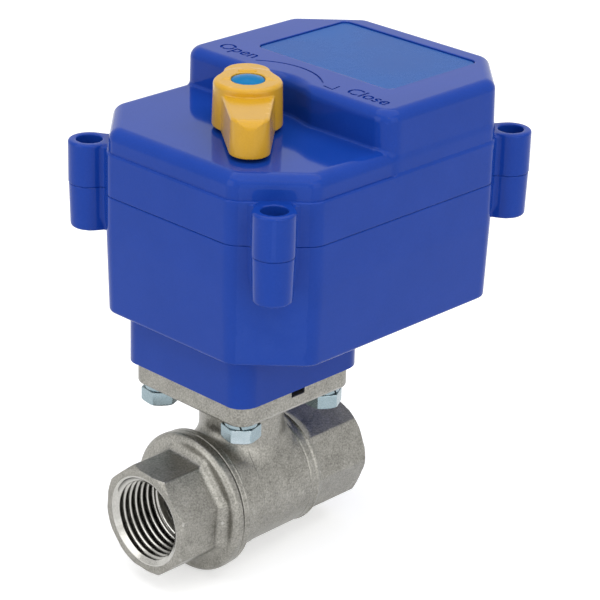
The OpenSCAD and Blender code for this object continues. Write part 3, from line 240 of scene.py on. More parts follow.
def makeFinish(name, look):
    material, tree = newTree(name)
    grain = addNode(tree, "ShaderNodeGroup", node_tree=surfaceGrain)
    for label, key in (("Fine Scale", "fine"), ("Broad Scale", "broad"), ("Fine Share", "fineShare")):
        grain.inputs[label].default_value = look[key]
    grain.inputs["Rough Low"].default_value, grain.inputs["Rough High"].default_value = look["rough"]
    grain.inputs["Colour A"].default_value = (*look["colour"], 1)
    grain.inputs["Colour B"].default_value = (*look["colourB"], 1)
    wear = addNode(tree, "ShaderNodeGroup", node_tree=edgeWear)
    wear.inputs["Worn Colour"].default_value = (*look["worn"], 1)
    wear.inputs["Amount"].default_value = look["wearAmount"]
    colour = grain.outputs["Colour"]
    if "hollowShadeColour" in look:
        # painted shade: the mesh's own crest value darkens the hollows of the thread, where shade falls
        crest = addNode(tree, "ShaderNodeAttribute", attribute_name="crest")
        colour = mixColours(tree, crest.outputs["Fac"], look["hollowShadeColour"], colour)
    tree.links.new(colour, wear.inputs["Colour"])
    bump = addNode(tree, "ShaderNodeBump", {"Height": grain.outputs["Height"], "Strength": look["bump"],
                                            "Distance": look["bumpDistance"]})
    body = addNode(tree, "ShaderNodeBsdfPrincipled", {"Roughness": grain.outputs["Roughness"],
                                                      "Normal": bump.outputs[0]})
    tree.links.new(wear.outputs["Colour"], body.inputs["Base Color"])
    body.inputs["Metallic"].default_value = look["metallic"]
    body.inputs["IOR"].default_value = look["ior"]
    out = addNode(tree, "ShaderNodeOutputMaterial")
    tree.links.new(body.outputs[0], out.inputs["Surface"])
    return material


usualFinish = dict(fineShare=0.5, bumpDistance=0.0001, wearAmount=0.4, metallic=0.0, ior=1.5)
finishLooks = {
    "castNickel": dict(colour=(0.145, 0.14, 0.124), colourB=(0.38, 0.37, 0.335), worn=(0.62, 0.61, 0.58),
                       fine=2300, broad=260, fineShare=0.72, rough=(0.3, 0.46), bump=0.45,
                       bumpDistance=0.00014, metallic=0.9, wearAmount=0.6),
    # the turned finish carries a painted shade colour for the thread's hollows
    "turnedNickel": dict(colour=(0.36, 0.355, 0.33), colourB=(0.50, 0.49, 0.46), worn=(0.85, 0.84, 0.82),
                         fine=2600, broad=500, fineShare=0.6, rough=(0.14, 0.26), bump=0.1,
                         metallic=1.0, hollowShadeColour=(0.035, 0.033, 0.03)),
    "zincPlate": dict(colour=(0.21, 0.28, 0.305), colourB=(0.30, 0.375, 0.41), worn=(0.78, 0.82, 0.86),
                      fine=2400, broad=400, rough=(0.2, 0.34), bump=0.12, metallic=0.95),
    "blueShell": dict(colour=(0.006, 0.043, 0.30), colourB=(0.010, 0.051, 0.34), worn=(0.05, 0.11, 0.44),
                      fine=2200, broad=90, rough=(0.05, 0.09), bump=0.015,
                      wearAmount=0.2, ior=1.22),
    "plateFilm": dict(colour=(0.004, 0.070, 0.31), colourB=(0.008, 0.098, 0.37), worn=(0.3, 0.4, 0.6),
                      fine=5000, broad=45, fineShare=0.4, rough=(0.22, 0.34), bump=0.03, ior=1.17),
    "yellowKnob": dict(colour=(0.56, 0.30, 0.012), colourB=(0.62, 0.34, 0.018), worn=(0.9, 0.62, 0.2),
                       fine=2500, broad=110, rough=(0.16, 0.26), bump=0.04,
                       wearAmount=0.3, ior=1.38),
    "blueCap": dict(colour=(0.002, 0.155, 0.38), colourB=(0.004, 0.175, 0.42), worn=(0.1, 0.4, 0.7),
                    fine=2500, broad=120, rough=(0.1, 0.18), bump=0.02, ior=1.12),
    "sealRubber": dict(colour=(0.015, 0.014, 0.013), colourB=(0.03, 0.028, 0.025), worn=(0.08, 0.07, 0.06),
                       fine=1800, broad=200, fineShare=0.6, rough=(0.5, 0.75), bump=0.2),
    "ballChrome": dict(colour=(0.72, 0.73, 0.74), colourB=(0.80, 0.81, 0.82), worn=(0.9, 0.9, 0.9),
                       fine=3500, broad=150, rough=(0.05, 0.12), bump=0.02, metallic=1.0),
    "seatWhite": dict(colour=(0.82, 0.82, 0.79), colourB=(0.88, 0.88, 0.86), worn=(0.95, 0.95, 0.94),
                      fine=1500, broad=150, rough=(0.35, 0.5), bump=0.05),
    "turnedBrass": dict(colour=(0.56, 0.36, 0.10), colourB=(0.66, 0.45, 0.15), worn=(0.85, 0.68, 0.35),
                        fine=3000, broad=220, rough=(0.2, 0.35), bump=0.08, metallic=1.0),
    "turnedSteel": dict(colour=(0.50, 0.51, 0.53), colourB=(0.58, 0.59, 0.61), worn=(0.8, 0.8, 0.82),
                        fine=2800, broad=240, fineShare=0.6, rough=(0.25, 0.4), bump=0.08, metallic=1.0),
    "gearAcetal": dict(colour=(0.72, 0.69, 0.58), colourB=(0.78, 0.75, 0.65), worn=(0.9, 0.88, 0.8),
                       fine=1600, broad=120, rough=(0.3, 0.45), bump=0.05),
    "boardGreen": dict(colour=(0.01, 0.10, 0.035), colourB=(0.02, 0.15, 0.05), worn=(0.2, 0.35, 0.1),
                       fine=1200, broad=700, fineShare=0.3, rough=(0.2, 0.35), bump=0.05),
    "blackMould": dict(colour=(0.012, 0.012, 0.013), colourB=(0.02, 0.02, 0.022), worn=(0.07, 0.07, 0.075),
                       fine=2600, broad=150, fineShare=0.6, rough=(0.35, 0.5), bump=0.1),
    "plungerRed": dict(colour=(0.42, 0.02, 0.012), colourB=(0.48, 0.03, 0.02), worn=(0.6, 0.2, 0.15),
                       fine=2000, broad=200, rough=(0.3, 0.4), bump=0.05),
}
finishes = {name: makeFinish(name, {**usualFinish, **look}) for name, look in finishLooks.items()}
slotFinish = {"nickel": "castNickel", "gasket": "sealRubber", "ball_steel": "ballChrome", "ptfe": "seatWhite",
              "brass": "turnedBrass", "zinc": "zincPlate", "blue_plastic": "blueShell", "plate_blue": "plateFilm",
              "yellow_plastic": "yellowKnob", "cap_blue": "blueCap", "steel": "turnedSteel", "acetal": "gearAcetal",
              "board_green": "boardGreen", "black_plastic": "blackMould", "red_plastic": "plungerRed"}
for entry in frame["record"]["subparts"]:
    node = cadNodes[entry["node"]]
    node.data.materials.clear()
    node.data.materials.append(finishes[slotFinish[entry["material_slot"]]])
print("finishes on all CAD nodes")


# shapes as distances, in mm
def roundMax(a, b, r):
    return np.minimum(np.maximum(a, b), -r) + np.hypot(np.maximum(a + r, 0), np.maximum(b + r, 0))


def roundMin(a, b, r):
    return -roundMax(-a, -b, r)


def cutAway(a, b, r):
    return roundMax(a, -b, r)


def cone(x, radial, x0, r0, x1, r1):
    slope = (r1 - r0) / (x1 - x0)
    side = (radial - (r0 + slope * (x - x0))) / math.hypot(1, slope)
    return np.maximum(side, np.maximum(x0 - x, x - x1))


def softRectangle(x, y, halfX, halfY, r):
    qx, qy = np.abs(x) - (halfX - r), np.abs(y) - (halfY - r)
    return np.hypot(np.maximum(qx, 0), np.maximum(qy, 0)) + np.minimum(np.maximum(qx, qy), 0) - r


def evenPlan(a, b, sides, flats, turnDegrees, r):
    sector = math.radians(360 / sides)
    around = np.mod(np.arctan2(b, a) - math.radians(turnDegrees), sector) - sector / 2
    radial = np.hypot(a, b)
    u = radial * np.cos(around) - (flats / 2 - r)
    v = np.abs(radial * np.sin(around)) - (flats / 2 - r) * math.tan(sector / 2)
    return np.hypot(np.maximum(u, 0), np.maximum(v, 0)) + np.minimum(u, 0) - r


def convexOutline(x, y, corners, r):
    best, side = None, None
    for k, (ax, ay) in enumerate(corners):
        bx, by = corners[(k + 1) % len(corners)]
        ex, ey = bx - ax, by - ay
        length = math.hypot(ex, ey)
        wx, wy = x - ax, y - ay
        t = np.clip((wx * ex + wy * ey) / length ** 2, 0, 1)
        gap = (wx - t * ex) ** 2 + (wy - t * ey) ** 2
        plane = (wx * ey - wy * ex) / length
        best = gap if best is None else np.minimum(best, gap)
        side = plane if side is None else np.maximum(side, plane)
    return np.where(side > 0, np.sqrt(best), side) - r


# grid planes, closer together inside each band (start, end, step)
def gridLines(low, high, coarse, bands):
    lines, cursor = [low], low
    for start, end, step in sorted(bands):
        start, end = max(start, cursor), min(end, high)
        if end <= start:
            continue
        if start > cursor + 1e-6:
            count = math.ceil((start - cursor) / coarse)
            lines += list(np.linspace(cursor, start, count + 1)[1:])
        count = math.ceil((end - start) / step)
        lines += list(np.linspace(start, end, count + 1)[1:])
        cursor = end
    if high > cursor + 1e-6:
        lines += list(np.linspace(cursor, high, math.ceil((high - cursor) / coarse) + 1)[1:])
    return np.array(lines) + 0.0137


# the direction in which the distance grows fastest
def slopeOf(shape, points, step=0.02):
    total = np.zeros_like(points)
    for way in ((1, -1, -1), (-1, -1, 1), (-1, 1, -1), (1, 1, 1)):
        way = np.array(way, float)
        moved = points + way * step
        total += way * shape(moved[:, 0], moved[:, 1], moved[:, 2])[:, None]
    return total / np.maximum(np.linalg.norm(total, axis=1, keepdims=True), 1e-12)


# one vertex in each cell that the surface crosses, set by the surface's own planes
def netMesh(shape, xs, ys, zs):
    value = np.broadcast_to(shape(xs[:, None, None], ys[None, :, None], zs[None, None, :]),
                            (len(xs), len(ys), len(zs))).astype(float)
    inside = value < 0
    nx, ny, nz = len(xs) - 1, len(ys) - 1, len(zs) - 1
    count = np.zeros((nx, ny, nz), np.uint8)
    for i in (0, 1):
        for j in (0, 1):
            for k in (0, 1):
                count += inside[i:nx + i, j:ny + j, k:nz + k]
    active = (count > 0) & (count < 8)
    number = np.full((nx, ny, nz), -1, np.int64)
    number[active] = np.arange(active.sum())
    total = int(active.sum())
    axes = (xs, ys, zs)
    crossPoint, crossCells, quads = [], [], []
    for axis in range(3):
        a = np.moveaxis(value, axis, 0)
        sign = np.moveaxis(inside, axis, 0)
        hit = np.argwhere(sign[:-1] != sign[1:])
        others = [(axis + 1) % 3, (axis + 2) % 3]
        v0 = a[hit[:, 0], hit[:, 1], hit[:, 2]]
        v1 = a[hit[:, 0] + 1, hit[:, 1], hit[:, 2]]
        t = v0 / (v0 - v1)
        ijk = np.zeros((len(hit), 3), np.int64)
        ijk[:, axis] = hit[:, 0]
        rest = [n for n in range(3) if n != axis]
        ijk[:, rest[0]], ijk[:, rest[1]] = hit[:, 1], hit[:, 2]
        point = np.stack([axes[n][ijk[:, n]] for n in range(3)], axis=1)
        point[:, axis] += t * (axes[axis][ijk[:, axis] + 1] - axes[axis][ijk[:, axis]])
        corners = []
        for du, dv in ((-1, -1), (0, -1), (0, 0), (-1, 0)):
            cell = ijk.copy()
            cell[:, others[0]] += du
            cell[:, others[1]] += dv
            corners.append(number[cell[:, 0], cell[:, 1], cell[:, 2]])
        quad = np.stack(corners, axis=1)
        crossPoint.append(point)
        crossCells.append(quad)
        quads.append(np.where((v0 > 0)[:, None], quad[:, ::-1], quad))
    points, cells, quads = np.concatenate(crossPoint), np.concatenate(crossCells), np.concatenate(quads)
    normals = slopeOf(shape, points)
    owner = cells.T.ravel()
    p4, n4 = np.tile(points, (4, 1)), np.tile(normals, (4, 1))
    hits = np.bincount(owner, minlength=total)
    middle = np.stack([np.bincount(owner, p4[:, k], total) for k in range(3)], axis=1) / hits[:, None]
    rhs = ((p4 - middle[owner]) * n4).sum(axis=1)
    normal2 = np.zeros((total, 3, 3))
    target = np.zeros((total, 3))
    for i in range(3):
        target[:, i] = np.bincount(owner, n4[:, i] * rhs, total)
        for j in range(3):
            normal2[:, i, j] = np.bincount(owner, n4[:, i] * n4[:, j], total)
    normal2 += np.eye(3) * 0.03
    place = middle + np.linalg.solve(normal2, target[:, :, None])[:, :, 0]
    where = np.argwhere(active)
    low = np.stack([axes[k][where[:, k]] for k in range(3)], axis=1)
    high = np.stack([axes[k][where[:, k] + 1] for k in range(3)], axis=1)
    place = np.clip(place, low + 0.02 * (high - low), high - 0.02 * (high - low))
    for _ in range(2):
        off = shape(place[:, 0], place[:, 1], place[:, 2])
        step = np.clip(off, -0.1, 0.1)[:, None] * slopeOf(shape, place)
        place = np.clip(place - step, low, high)
    return place, quads


def fourCorners(reach):
    return [(sx * reach, sy * reach) for sx in (-1, 1) for sy in (-1, 1)]


def toFrame(points):
    return (points + stemAt) / 1000


def linkPiece(name, mesh, finish):
    mesh.materials.append(finishes[finish])
    return addToScene(name, mesh)


# the mesh with its modifiers applied
def meshOf(source):
    return bpy.data.meshes.new_from_object(source.evaluated_get(bpy.context.evaluated_depsgraph_get()))


def keepMesh(made, mesh):
    bmesh.ops.recalc_face_normals(made, faces=made.faces)
    made.to_mesh(mesh)
    made.free()
    return mesh


def meshFrom(name, points, faces):
    mesh = bpy.data.meshes.new(name)
    mesh.from_pydata(toFrame(points).tolist(), [], np.asarray(faces).tolist())
    mesh.validate()
    return mesh


# shading follows the shape itself, apart from at its sharp edges
def dressNormals(mesh, shape, turn=None):
    mesh.shade_smooth()
    loops, faces = len(mesh.loops), len(mesh.polygons)
    place = np.empty(len(mesh.vertices) * 3)
    mesh.vertices.foreach_get("co", place)
    place = place.reshape(-1, 3) * 1000 - stemAt
    owner = np.empty(loops, np.int64)
    mesh.loops.foreach_get("vertex_index", owner)
    flat, centre = np.empty(faces * 3), np.empty(faces * 3)
    mesh.polygons.foreach_get("normal", flat)
    mesh.polygons.foreach_get("center", centre)
    size = np.empty(faces, np.int64)
    mesh.polygons.foreach_get("loop_total", size)
    flat = np.repeat(flat.reshape(-1, 3), size, axis=0)
    centre = np.repeat(centre.reshape(-1, 3) * 1000 - stemAt, size, axis=0)
    if turn is not None:
        place, flat, centre = place @ turn, flat @ turn, centre @ turn
    atVertex = slopeOf(shape, place)
    result = atVertex[owner]
    check = (result * flat).sum(axis=1) < 0.97
    inner = place[owner[check]] + 0.25 * (centre[check] - place[owner[check]])
    near = slopeOf(shape, inner)
    depth = np.abs(shape(inner[:, 0], inner[:, 1], inner[:, 2]))
    better = np.where(((near * result[check]).sum(axis=1) > 0.93)[:, None], result[check], near)
    bad = ((better * flat[check]).sum(axis=1) < 0.7) | (depth > 0.12)
    better[bad] = flat[check][bad]
    result[check] = better
    if turn is not None:
        result = result @ turn.T
    mesh.normals_split_custom_set(result.tolist())


def shapePiece(name, shape, xs, ys, zs, finish):
    points, quads = netMesh(shape, xs, ys, zs)
    mesh = meshFrom(name, points, quads)
    dressNormals(mesh, shape)
    piece = linkPiece(name, mesh, finish)
    print(name, len(mesh.polygons) * 2, "triangles")
    return piece


# blue housing
housingLook = {
    "back": -24.6, "front": 60.6, "half": 33.4, "cornerCut": 13.5, "cornerRadius": 5.0,
    "baseZ": 44.0, "splitZ": 72.7, "lineZ": 62.9, "draft": 0.6, "underEdge": 0.8, "wall": 2.2,
    "collarHalf": 19.95, "collarCorner": 5.0, "collarFoot": 31.1, "lipZ": 83.0, "deckZ": 88.6,
    "deckInset": 0.6, "deckEdge": 3.0, "blockZ": 97.6, "blockInset": 0.4, "blockDraft": 0.35,
    "blockEdge": 2.6, "stepX": 10.6, "stepCorner": 4.6, "scallop": 12.5, "scallopEdge": 2.0, "lugRadius": 4.89,
    "webHalf": 4.0, "lugFillet": 2.0, "lugTaper": 0.3, "lugSeamStep": 0.12,
    "coverLugTop": 82.9, "baseLugFoot": 61.9, "lugFootEdge": 0.8, "lugHole": 3.0, "lugHoleFoot": 76.0,
    "plate": (23.5, 54.0, 21.15, 2.0), "plateDepth": 0.7, "plateEdge": 0.15, "splitEdge": 0.3, "lugOut": 4.26,
    "webReach": 6.0, "webFillet": 0.6, "lugTopEdge": 0.7, "lugHoleEdge": 0.35, "collarJoin": 0.7, "lipEdge": 0.45,
    "blockJoin": 0.8,
    "shaftBore": 6.62, "insertAt": 13.4, "insertBore": 3.55, "insertTop": 41.5, "screwBore": 1.55,
    "screwFoot": 63.5, "glandZ": 56.8, "glandBore": 6.05, "glandFrom": 50, "screwClear": 1.7,
    "gasketInset": 0.8, "gasketTop": 73.3, "coverBore": 4.05, "sealBore": 5.5, "sealTop": 87.5,
}


def cutCorners(look, inset):
    cut = look["cornerCut"] - inset * (2 - math.sqrt(2))
    x0, x1, h = look["back"] + inset, look["front"] - inset, look["half"] - inset
    return [(x0 + cut, -h), (x1 - cut, -h), (x1, -h + cut), (x1, h - cut), (x1 - cut, h), (x0 + cut, h),
            (x0, h - cut), (x0, -h + cut)]


def housingPlan(look, x, y):
    return convexOutline(x, y, cutCorners(look, look["cornerRadius"]), look["cornerRadius"])


lugPlaces = []
for sx in (-1, 1):
    for sy in (-1, 1):
        middle = (housingLook["front"] if sx > 0 else housingLook["back"]) - sx * housingLook["cornerCut"] / 2
        across = housingLook["half"] - housingLook["cornerCut"] / 2
        out = housingLook["lugOut"] / math.sqrt(2)
        lugPlaces.append((middle + out * sx, sy * across + out * sy, sx, sy))


def lugPlan(look, x, y):
    plan = None
    for cx, cy, sx, sy in lugPlaces:
        u = ((x - cx) * sx + (y - cy) * sy) / math.sqrt(2)
        v = ((x - cx) * -sy + (y - cy) * sx) / math.sqrt(2)
        boss = np.hypot(u, v) - look["lugRadius"]
        web = np.maximum(np.abs(v) - look["webHalf"], np.maximum(-look["webReach"] - u, u))
        one = roundMin(boss, web, look["webFillet"])
        plan = one if plan is None else np.minimum(plan, one)
    return plan


def holes(x, y, places, radius):
    nearest = None
    for place in places:
        one = np.hypot(x - place[0], y - place[1]) - radius
        nearest = one if nearest is None else np.minimum(nearest, one)
    return nearest


def baseShape(x, y, z, look=housingLook):
    plan = housingPlan(look, x, y)
    draft = look["draft"] * np.clip((look["lineZ"] - z) / (look["lineZ"] - look["baseZ"]), 0, 1)
    shell = roundMax(plan + draft, look["baseZ"] - z, look["underEdge"])
    collar = softRectangle(x, y, look["collarHalf"], look["collarHalf"], look["collarCorner"])
    collar = np.maximum(collar, np.maximum(look["collarFoot"] - z, z - look["baseZ"] - 2))
    shell = roundMin(shell, collar, look["collarJoin"])
    below = (look["splitZ"] - z) / (look["splitZ"] - look["baseLugFoot"])
    taper = look["lugSeamStep"] + look["lugTaper"] * np.clip(below, 0, 1)
    lugs = roundMax(lugPlan(look, x, y) + taper, look["baseLugFoot"] - z, look["lugFootEdge"])
    fillet = 0.9 + (look["lugFillet"] - 0.9) * np.clip((z - look["baseLugFoot"] - 1.3) / 2, 0, 1)
    shell = roundMin(shell, lugs, fillet)
    shell = roundMax(shell, z - look["splitZ"], look["splitEdge"])
    hollow = np.maximum(plan + look["wall"] + look["draft"], look["baseZ"] + look["wall"] - z)
    shell = np.maximum(shell, -hollow)
    shell = np.maximum(shell, look["shaftBore"] - np.hypot(x, y))
    inserts = np.maximum(holes(x, y, fourCorners(look["insertAt"]), look["insertBore"]), z - look["insertTop"])
    shell = np.maximum(shell, -inserts)
    screws = np.maximum(holes(x, y, lugPlaces, look["screwBore"]), look["screwFoot"] - z)
    shell = np.maximum(shell, -screws)
    gland = np.maximum(np.hypot(y, z - look["glandZ"]) - look["glandBore"], look["glandFrom"] - x)
    return np.maximum(shell, -gland)


def coverShape(x, y, z, look=housingLook):
    plan = housingPlan(look, x, y)
    lower = roundMax(plan, z - look["lipZ"], look["lipEdge"])
    upper = roundMax(plan + look["deckInset"], z - look["deckZ"], look["deckEdge"])
    lean = look["blockDraft"] * np.clip((z - look["lipZ"]) / (look["blockZ"] - look["lipZ"]), 0, 1)
    top = roundMax(plan + look["blockInset"] + lean, look["stepX"] - x, look["stepCorner"])
    top = roundMax(top, look["scallop"] - np.hypot(x, y), look["scallopEdge"])
    top = roundMax(top, z - look["blockZ"], look["blockEdge"])
    top = np.maximum(top, look["lipZ"] - 1 - z)
    shell = roundMin(np.minimum(lower, upper), top, look["blockJoin"])
    lugs = roundMax(lugPlan(look, x, y), z - look["coverLugTop"], look["lugTopEdge"])
    fillet = look["lugFillet"] * np.clip((look["coverLugTop"] - 0.1 - z) / 0.6, 0.01, 1)
    shell = roundMin(shell, lugs, fillet)
    shell = roundMax(shell, look["splitZ"] - z, look["splitEdge"])
    deep = np.maximum(holes(x, y, lugPlaces, look["lugHole"]), look["lugHoleFoot"] - z)
    shell = cutAway(shell, deep, look["lugHoleEdge"])
    shell = np.maximum(shell, -holes(x, y, lugPlaces, look["screwClear"]))
    hollow = np.maximum(plan + look["wall"], z - (look["deckZ"] - look["wall"]))
    above = np.maximum(plan + look["wall"] + look["deckInset"],
                       look["scallop"] + look["blockEdge"] + look["wall"] / 2 - x)
    above = np.maximum(above, z - (look["blockZ"] - look["wall"]))
    seat = np.maximum(plan + look["gasketInset"], z - look["gasketTop"])
    shell = np.maximum(shell, -np.minimum(np.minimum(hollow, above), seat))
    shell = np.maximum(shell, look["coverBore"] - np.hypot(x, y))
    shell = np.maximum(shell, -np.maximum(np.hypot(x, y) - look["sealBore"], z - look["sealTop"]))
    x0, x1, half, r = look["plate"]
    recess = np.maximum(softRectangle(x - (x0 + x1) / 2, y, (x1 - x0) / 2, half, r),
                        look["blockZ"] - look["plateDepth"] - z)
    return cutAway(shell, recess, look["plateEdge"])


def makeBaseHousing():
    xs = gridLines(-27, 63, 1.6, [(-26.2, -9.4, 0.38), (9.4, 20.8, 0.7), (45.2, 62.2, 0.38)])
    ys = gridLines(-36, 36, 1.6, [(-34.8, -17.4, 0.38), (17.4, 34.8, 0.38), (-17.4, 17.4, 0.9)])
    zs = gridLines(30, 74, 1.6, [(30.6, 31.8, 0.5), (42.8, 46.6, 0.38), (61.0, 64.6, 0.36), (71.8, 73.2, 0.22)])
    piece = shapePiece("baseHousing", baseShape, xs, ys, zs, "blueShell")
    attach(piece, "actuator")
    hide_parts("base_housing")


# plain words and the arc with its arrow, carved into the block's top
markLook = {"ringCentre": (3.5, 2.9), "ringRadius": 16.3, "ringWidth": 0.5, "from": 41.0, "to": -43.0, "depth": 0.3,
            "head": ((14.4, -9.5), (14.0, -12.6), (16.8, -12.2)), "headStroke": 0.5, "openAt": (17.9, 21.0),
            "closeAt": (16.4, -21.5), "letterHeight": 3.9, "letterOffset": 0.06}


def letterMesh(text, look, at, name):
    curve = bpy.data.curves.new(name, "FONT")
    curve.body = text
    curve.size = look["letterHeight"] * 1.36
    curve.align_x, curve.align_y = "CENTER", "CENTER"
    curve.extrude = look["depth"]
    curve.offset = look["letterOffset"]
    curve.resolution_u = 5
    source = addToScene(name, curve)
    mesh = meshOf(source)
    bpy.data.objects.remove(source)
    # the words read towards -Y with their tops towards +X
    turn = Matrix.Translation((at[0], at[1], housingLook["blockZ"])) @ Matrix.Rotation(math.radians(-90), 4, "Z")
    mesh.transform(turn)
    made = bmesh.new()
    made.from_mesh(mesh)
    bmesh.ops.remove_doubles(made, verts=made.verts, dist=0.002)
    return keepMesh(made, mesh)


def strokeMesh(look, line, width, name):
    made, rows = bmesh.new(), []
    z0, z1 = housingLook["blockZ"] - look["depth"], housingLook["blockZ"] + 1
    for k, (x, y) in enumerate(line):
        before, after = line[max(k - 1, 0)], line[min(k + 1, len(line) - 1)]
        dx, dy = after[0] - before[0], after[1] - before[1]
        length = math.hypot(dx, dy)
        ox, oy = -dy / length * width / 2, dx / length * width / 2
        rows.append([made.verts.new(v) for v in ((x - ox, y - oy, z0), (x + ox, y + oy, z0), (x + ox, y + oy, z1),
                                                 (x - ox, y - oy, z1))])
    for a, b in zip(rows, rows[1:]):
        for k in range(4):
            made.faces.new((a[k], a[(k + 1) % 4], b[(k + 1) % 4], b[k]))
    made.faces.new(rows[0])
    made.faces.new(rows[-1][::-1])
    return keepMesh(made, bpy.data.meshes.new(name))


def arcLine(look):
    cx, cy = look["ringCentre"]
    return [(cx + look["ringRadius"] * math.cos(a), cy + look["ringRadius"] * math.sin(a))
            for a in np.radians(np.linspace(look["from"], look["to"], 49))]


def carve(piece, cutters):
    for mesh in cutters:
        mesh.transform(Matrix.Scale(0.001, 4) @ Matrix.Translation((stemX, 0, 0)))
        tool = addToScene("cutter", mesh)
        step = piece.modifiers.new("carve", "BOOLEAN")
        step.operation, step.solver, step.object = "DIFFERENCE", "MANIFOLD", tool
        made = meshOf(piece)
        piece.modifiers.clear()
        piece.data = made
        bpy.data.objects.remove(tool)
        print("carved", piece.name, len(made.polygons))


def makeCoverHousing():
    xs = gridLines(-27, 63, 1.6, [(-26.2, -8.6, 0.36), (-6.2, -3.2, 0.6), (3.2, 6.2, 0.6), (9.0, 17.6, 0.36),
                                  (22.9, 24.4, 0.3), (45.2, 62.2, 0.36)])
    ys = gridLines(-36, 36, 1.6, [(-34.8, -17.0, 0.36), (17.0, 34.8, 0.36), (-17.0, 17.0, 0.7)])
    zs = gridLines(71, 99, 1.6, [(72.2, 74.0, 0.22), (75.4, 76.6, 0.5), (81.4, 83.6, 0.24), (84.8, 89.6, 0.3),
                                 (94.4, 98.2, 0.24)])
    points, quads = netMesh(coverShape, xs, ys, zs)
    mesh = meshFrom("coverHousing", points, quads)
    piece = linkPiece("coverHousing", mesh, "blueShell")
    carve(piece, [letterMesh("Open", markLook, markLook["openAt"], "openWord"),
                  letterMesh("Close", markLook, markLook["closeAt"], "closeWord"),
                  strokeMesh(markLook, arcLine(markLook), markLook["ringWidth"], "arcStroke"),
                  strokeMesh(markLook, markLook["head"], markLook["headStroke"], "arrowStroke")])
    dressNormals(piece.data, coverShape)
    print("coverHousing", len(piece.data.polygons), "faces")
    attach(piece, "actuator")
    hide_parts("cover_housing")


makeBaseHousing()
makeCoverHousing()


# rating plate, left bare
plateLook = {"x0": 23.7, "x1": 53.8, "half": 20.95, "corner": 1.8, "top": 97.3, "thick": 0.4}


def plateShape(x, y, z, look=plateLook):
    middle, reach = (look["x0"] + look["x1"]) / 2, (look["x1"] - look["x0"]) / 2
    plan = softRectangle(x - middle, y, reach, look["half"], look["corner"])
    return roundMax(plan, np.abs(z - (look["top"] - look["thick"] / 2)) - look["thick"] / 2, 0.12)


def makePlate():
    xs = gridLines(23, 54.5, 2.5, [(23.4, 26.2, 0.25), (51.4, 54.2, 0.25)])
    ys = gridLines(-21.8, 21.8, 2.5, [(-21.3, -18.6, 0.25), (18.6, 21.3, 0.25)])
    zs = gridLines(96.6, 97.7, 0.12, [])
    piece = shapePiece("ratingPlate", plateShape, xs, ys, zs, "plateFilm")
    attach(piece, "actuator")
    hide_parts("rating_plate")


makePlate()


# knob and cap
knobLook = {
    "foot": 89.5, "footEdge": 0.3, "top": 99.9, "hub": 7.75, "rim": 1.0, "draft": 0.025, "turnDegrees": -133.0,
    "leverTop": 98.0, "leverTipAt": 19.05, "leverTip": 4.3, "leverRoot": 6.3, "leverEdge": 0.7, "leverEnd": 23.3,
    "leverEndEdge": 2.2, "hubJoin": 0.2, "lobeAt": -6.6, "lobe": 5.35, "lobeEdge": 0.7, "lobeJoin": 1.0,
    "capRadius": 3.82, "capDrop": 1.4, "screwHead": (3.2, 96.5), "screwBore": 1.55, "socket": (4.05, 95.9),
    "arrowBase": -4.7, "arrowHalf": 2.3, "arrowPoint": -9.0, "arrowRise": 0.6, "arrowEdge": 0.22,
}


def taperedPlan(x, y, rootRadius, tipRadius, length):
    side = np.abs(y)
    b = (rootRadius - tipRadius) / length
    a = math.sqrt(1 - b * b)
    along = side * -b + x * a
    middle = side * a + x * b - rootRadius
    return np.where(along < 0, np.hypot(side, x) - rootRadius,
                    np.where(along > a * length, np.hypot(side, x - length) - tipRadius, middle))


def raisedArrow(x, y, z, look):
    length, half = look["arrowBase"] - look["arrowPoint"], look["arrowHalf"]
    flank = (np.abs(y) * length - (x - look["arrowPoint"]) * half) / math.hypot(length, half)
    plan = np.maximum(flank, x - look["arrowBase"])
    return roundMax(plan, np.maximum(z - look["top"] - look["arrowRise"], look["top"] - 1 - z), look["arrowEdge"])


def knobShape(x, y, z, look=knobLook):
    radial = np.hypot(x, y)
    flare = look["draft"] * (look["top"] - z)
    hub = roundMax(radial - look["hub"] - flare, z - look["top"], look["rim"])
    lever = taperedPlan(x, y, look["leverRoot"], look["leverTip"], look["leverTipAt"])
    lever = roundMax(lever - flare, z - look["leverTop"], look["leverEdge"])
    lever = np.maximum(lever, roundMax(x - look["leverEnd"] - flare, z - look["leverTop"], look["leverEndEdge"]))
    lobe = np.maximum(np.hypot(np.maximum(-(x - look["lobeAt"]), 0), y) - look["lobe"] - flare, x)
    lobe = roundMax(lobe, z - look["top"], look["lobeEdge"])
    solid = roundMin(roundMin(hub, lever, look["hubJoin"]), lobe, look["lobeJoin"])
    solid = roundMax(solid, look["foot"] - z, look["footEdge"])
    solid = np.minimum(solid, raisedArrow(x, y, z, look))
    solid = cutAway(solid, np.maximum(radial - look["capRadius"], look["top"] - look["capDrop"] - z), 0.2)
    solid = np.maximum(solid, -np.maximum(radial - look["screwHead"][0], look["screwHead"][1] - z))
    solid = np.maximum(solid, look["screwBore"] - radial)
    return np.maximum(solid, -np.maximum(radial - look["socket"][0], z - look["socket"][1]))


def makeKnob():
    xs = gridLines(-13, 25, 0.34, [])
    ys = gridLines(-9, 9, 0.34, [])
    zs = gridLines(88.8, 101, 0.8, [(89.2, 90.2, 0.3), (95.4, 100.4, 0.28)])
    points, quads = netMesh(knobShape, xs, ys, zs)
    angle = math.radians(knobLook["turnDegrees"])
    turn = np.array([[math.cos(angle), math.sin(angle), 0], [-math.sin(angle), math.cos(angle), 0], [0, 0, 1]])
    mesh = meshFrom("knobBody", points @ turn, quads)
    dressNormals(mesh, knobShape, turn.T)
    piece = linkPiece("knobBody", mesh, "yellowKnob")
    print("knobBody", len(mesh.polygons) * 2, "triangles")
    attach(piece, "knob_group")
    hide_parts("knob")


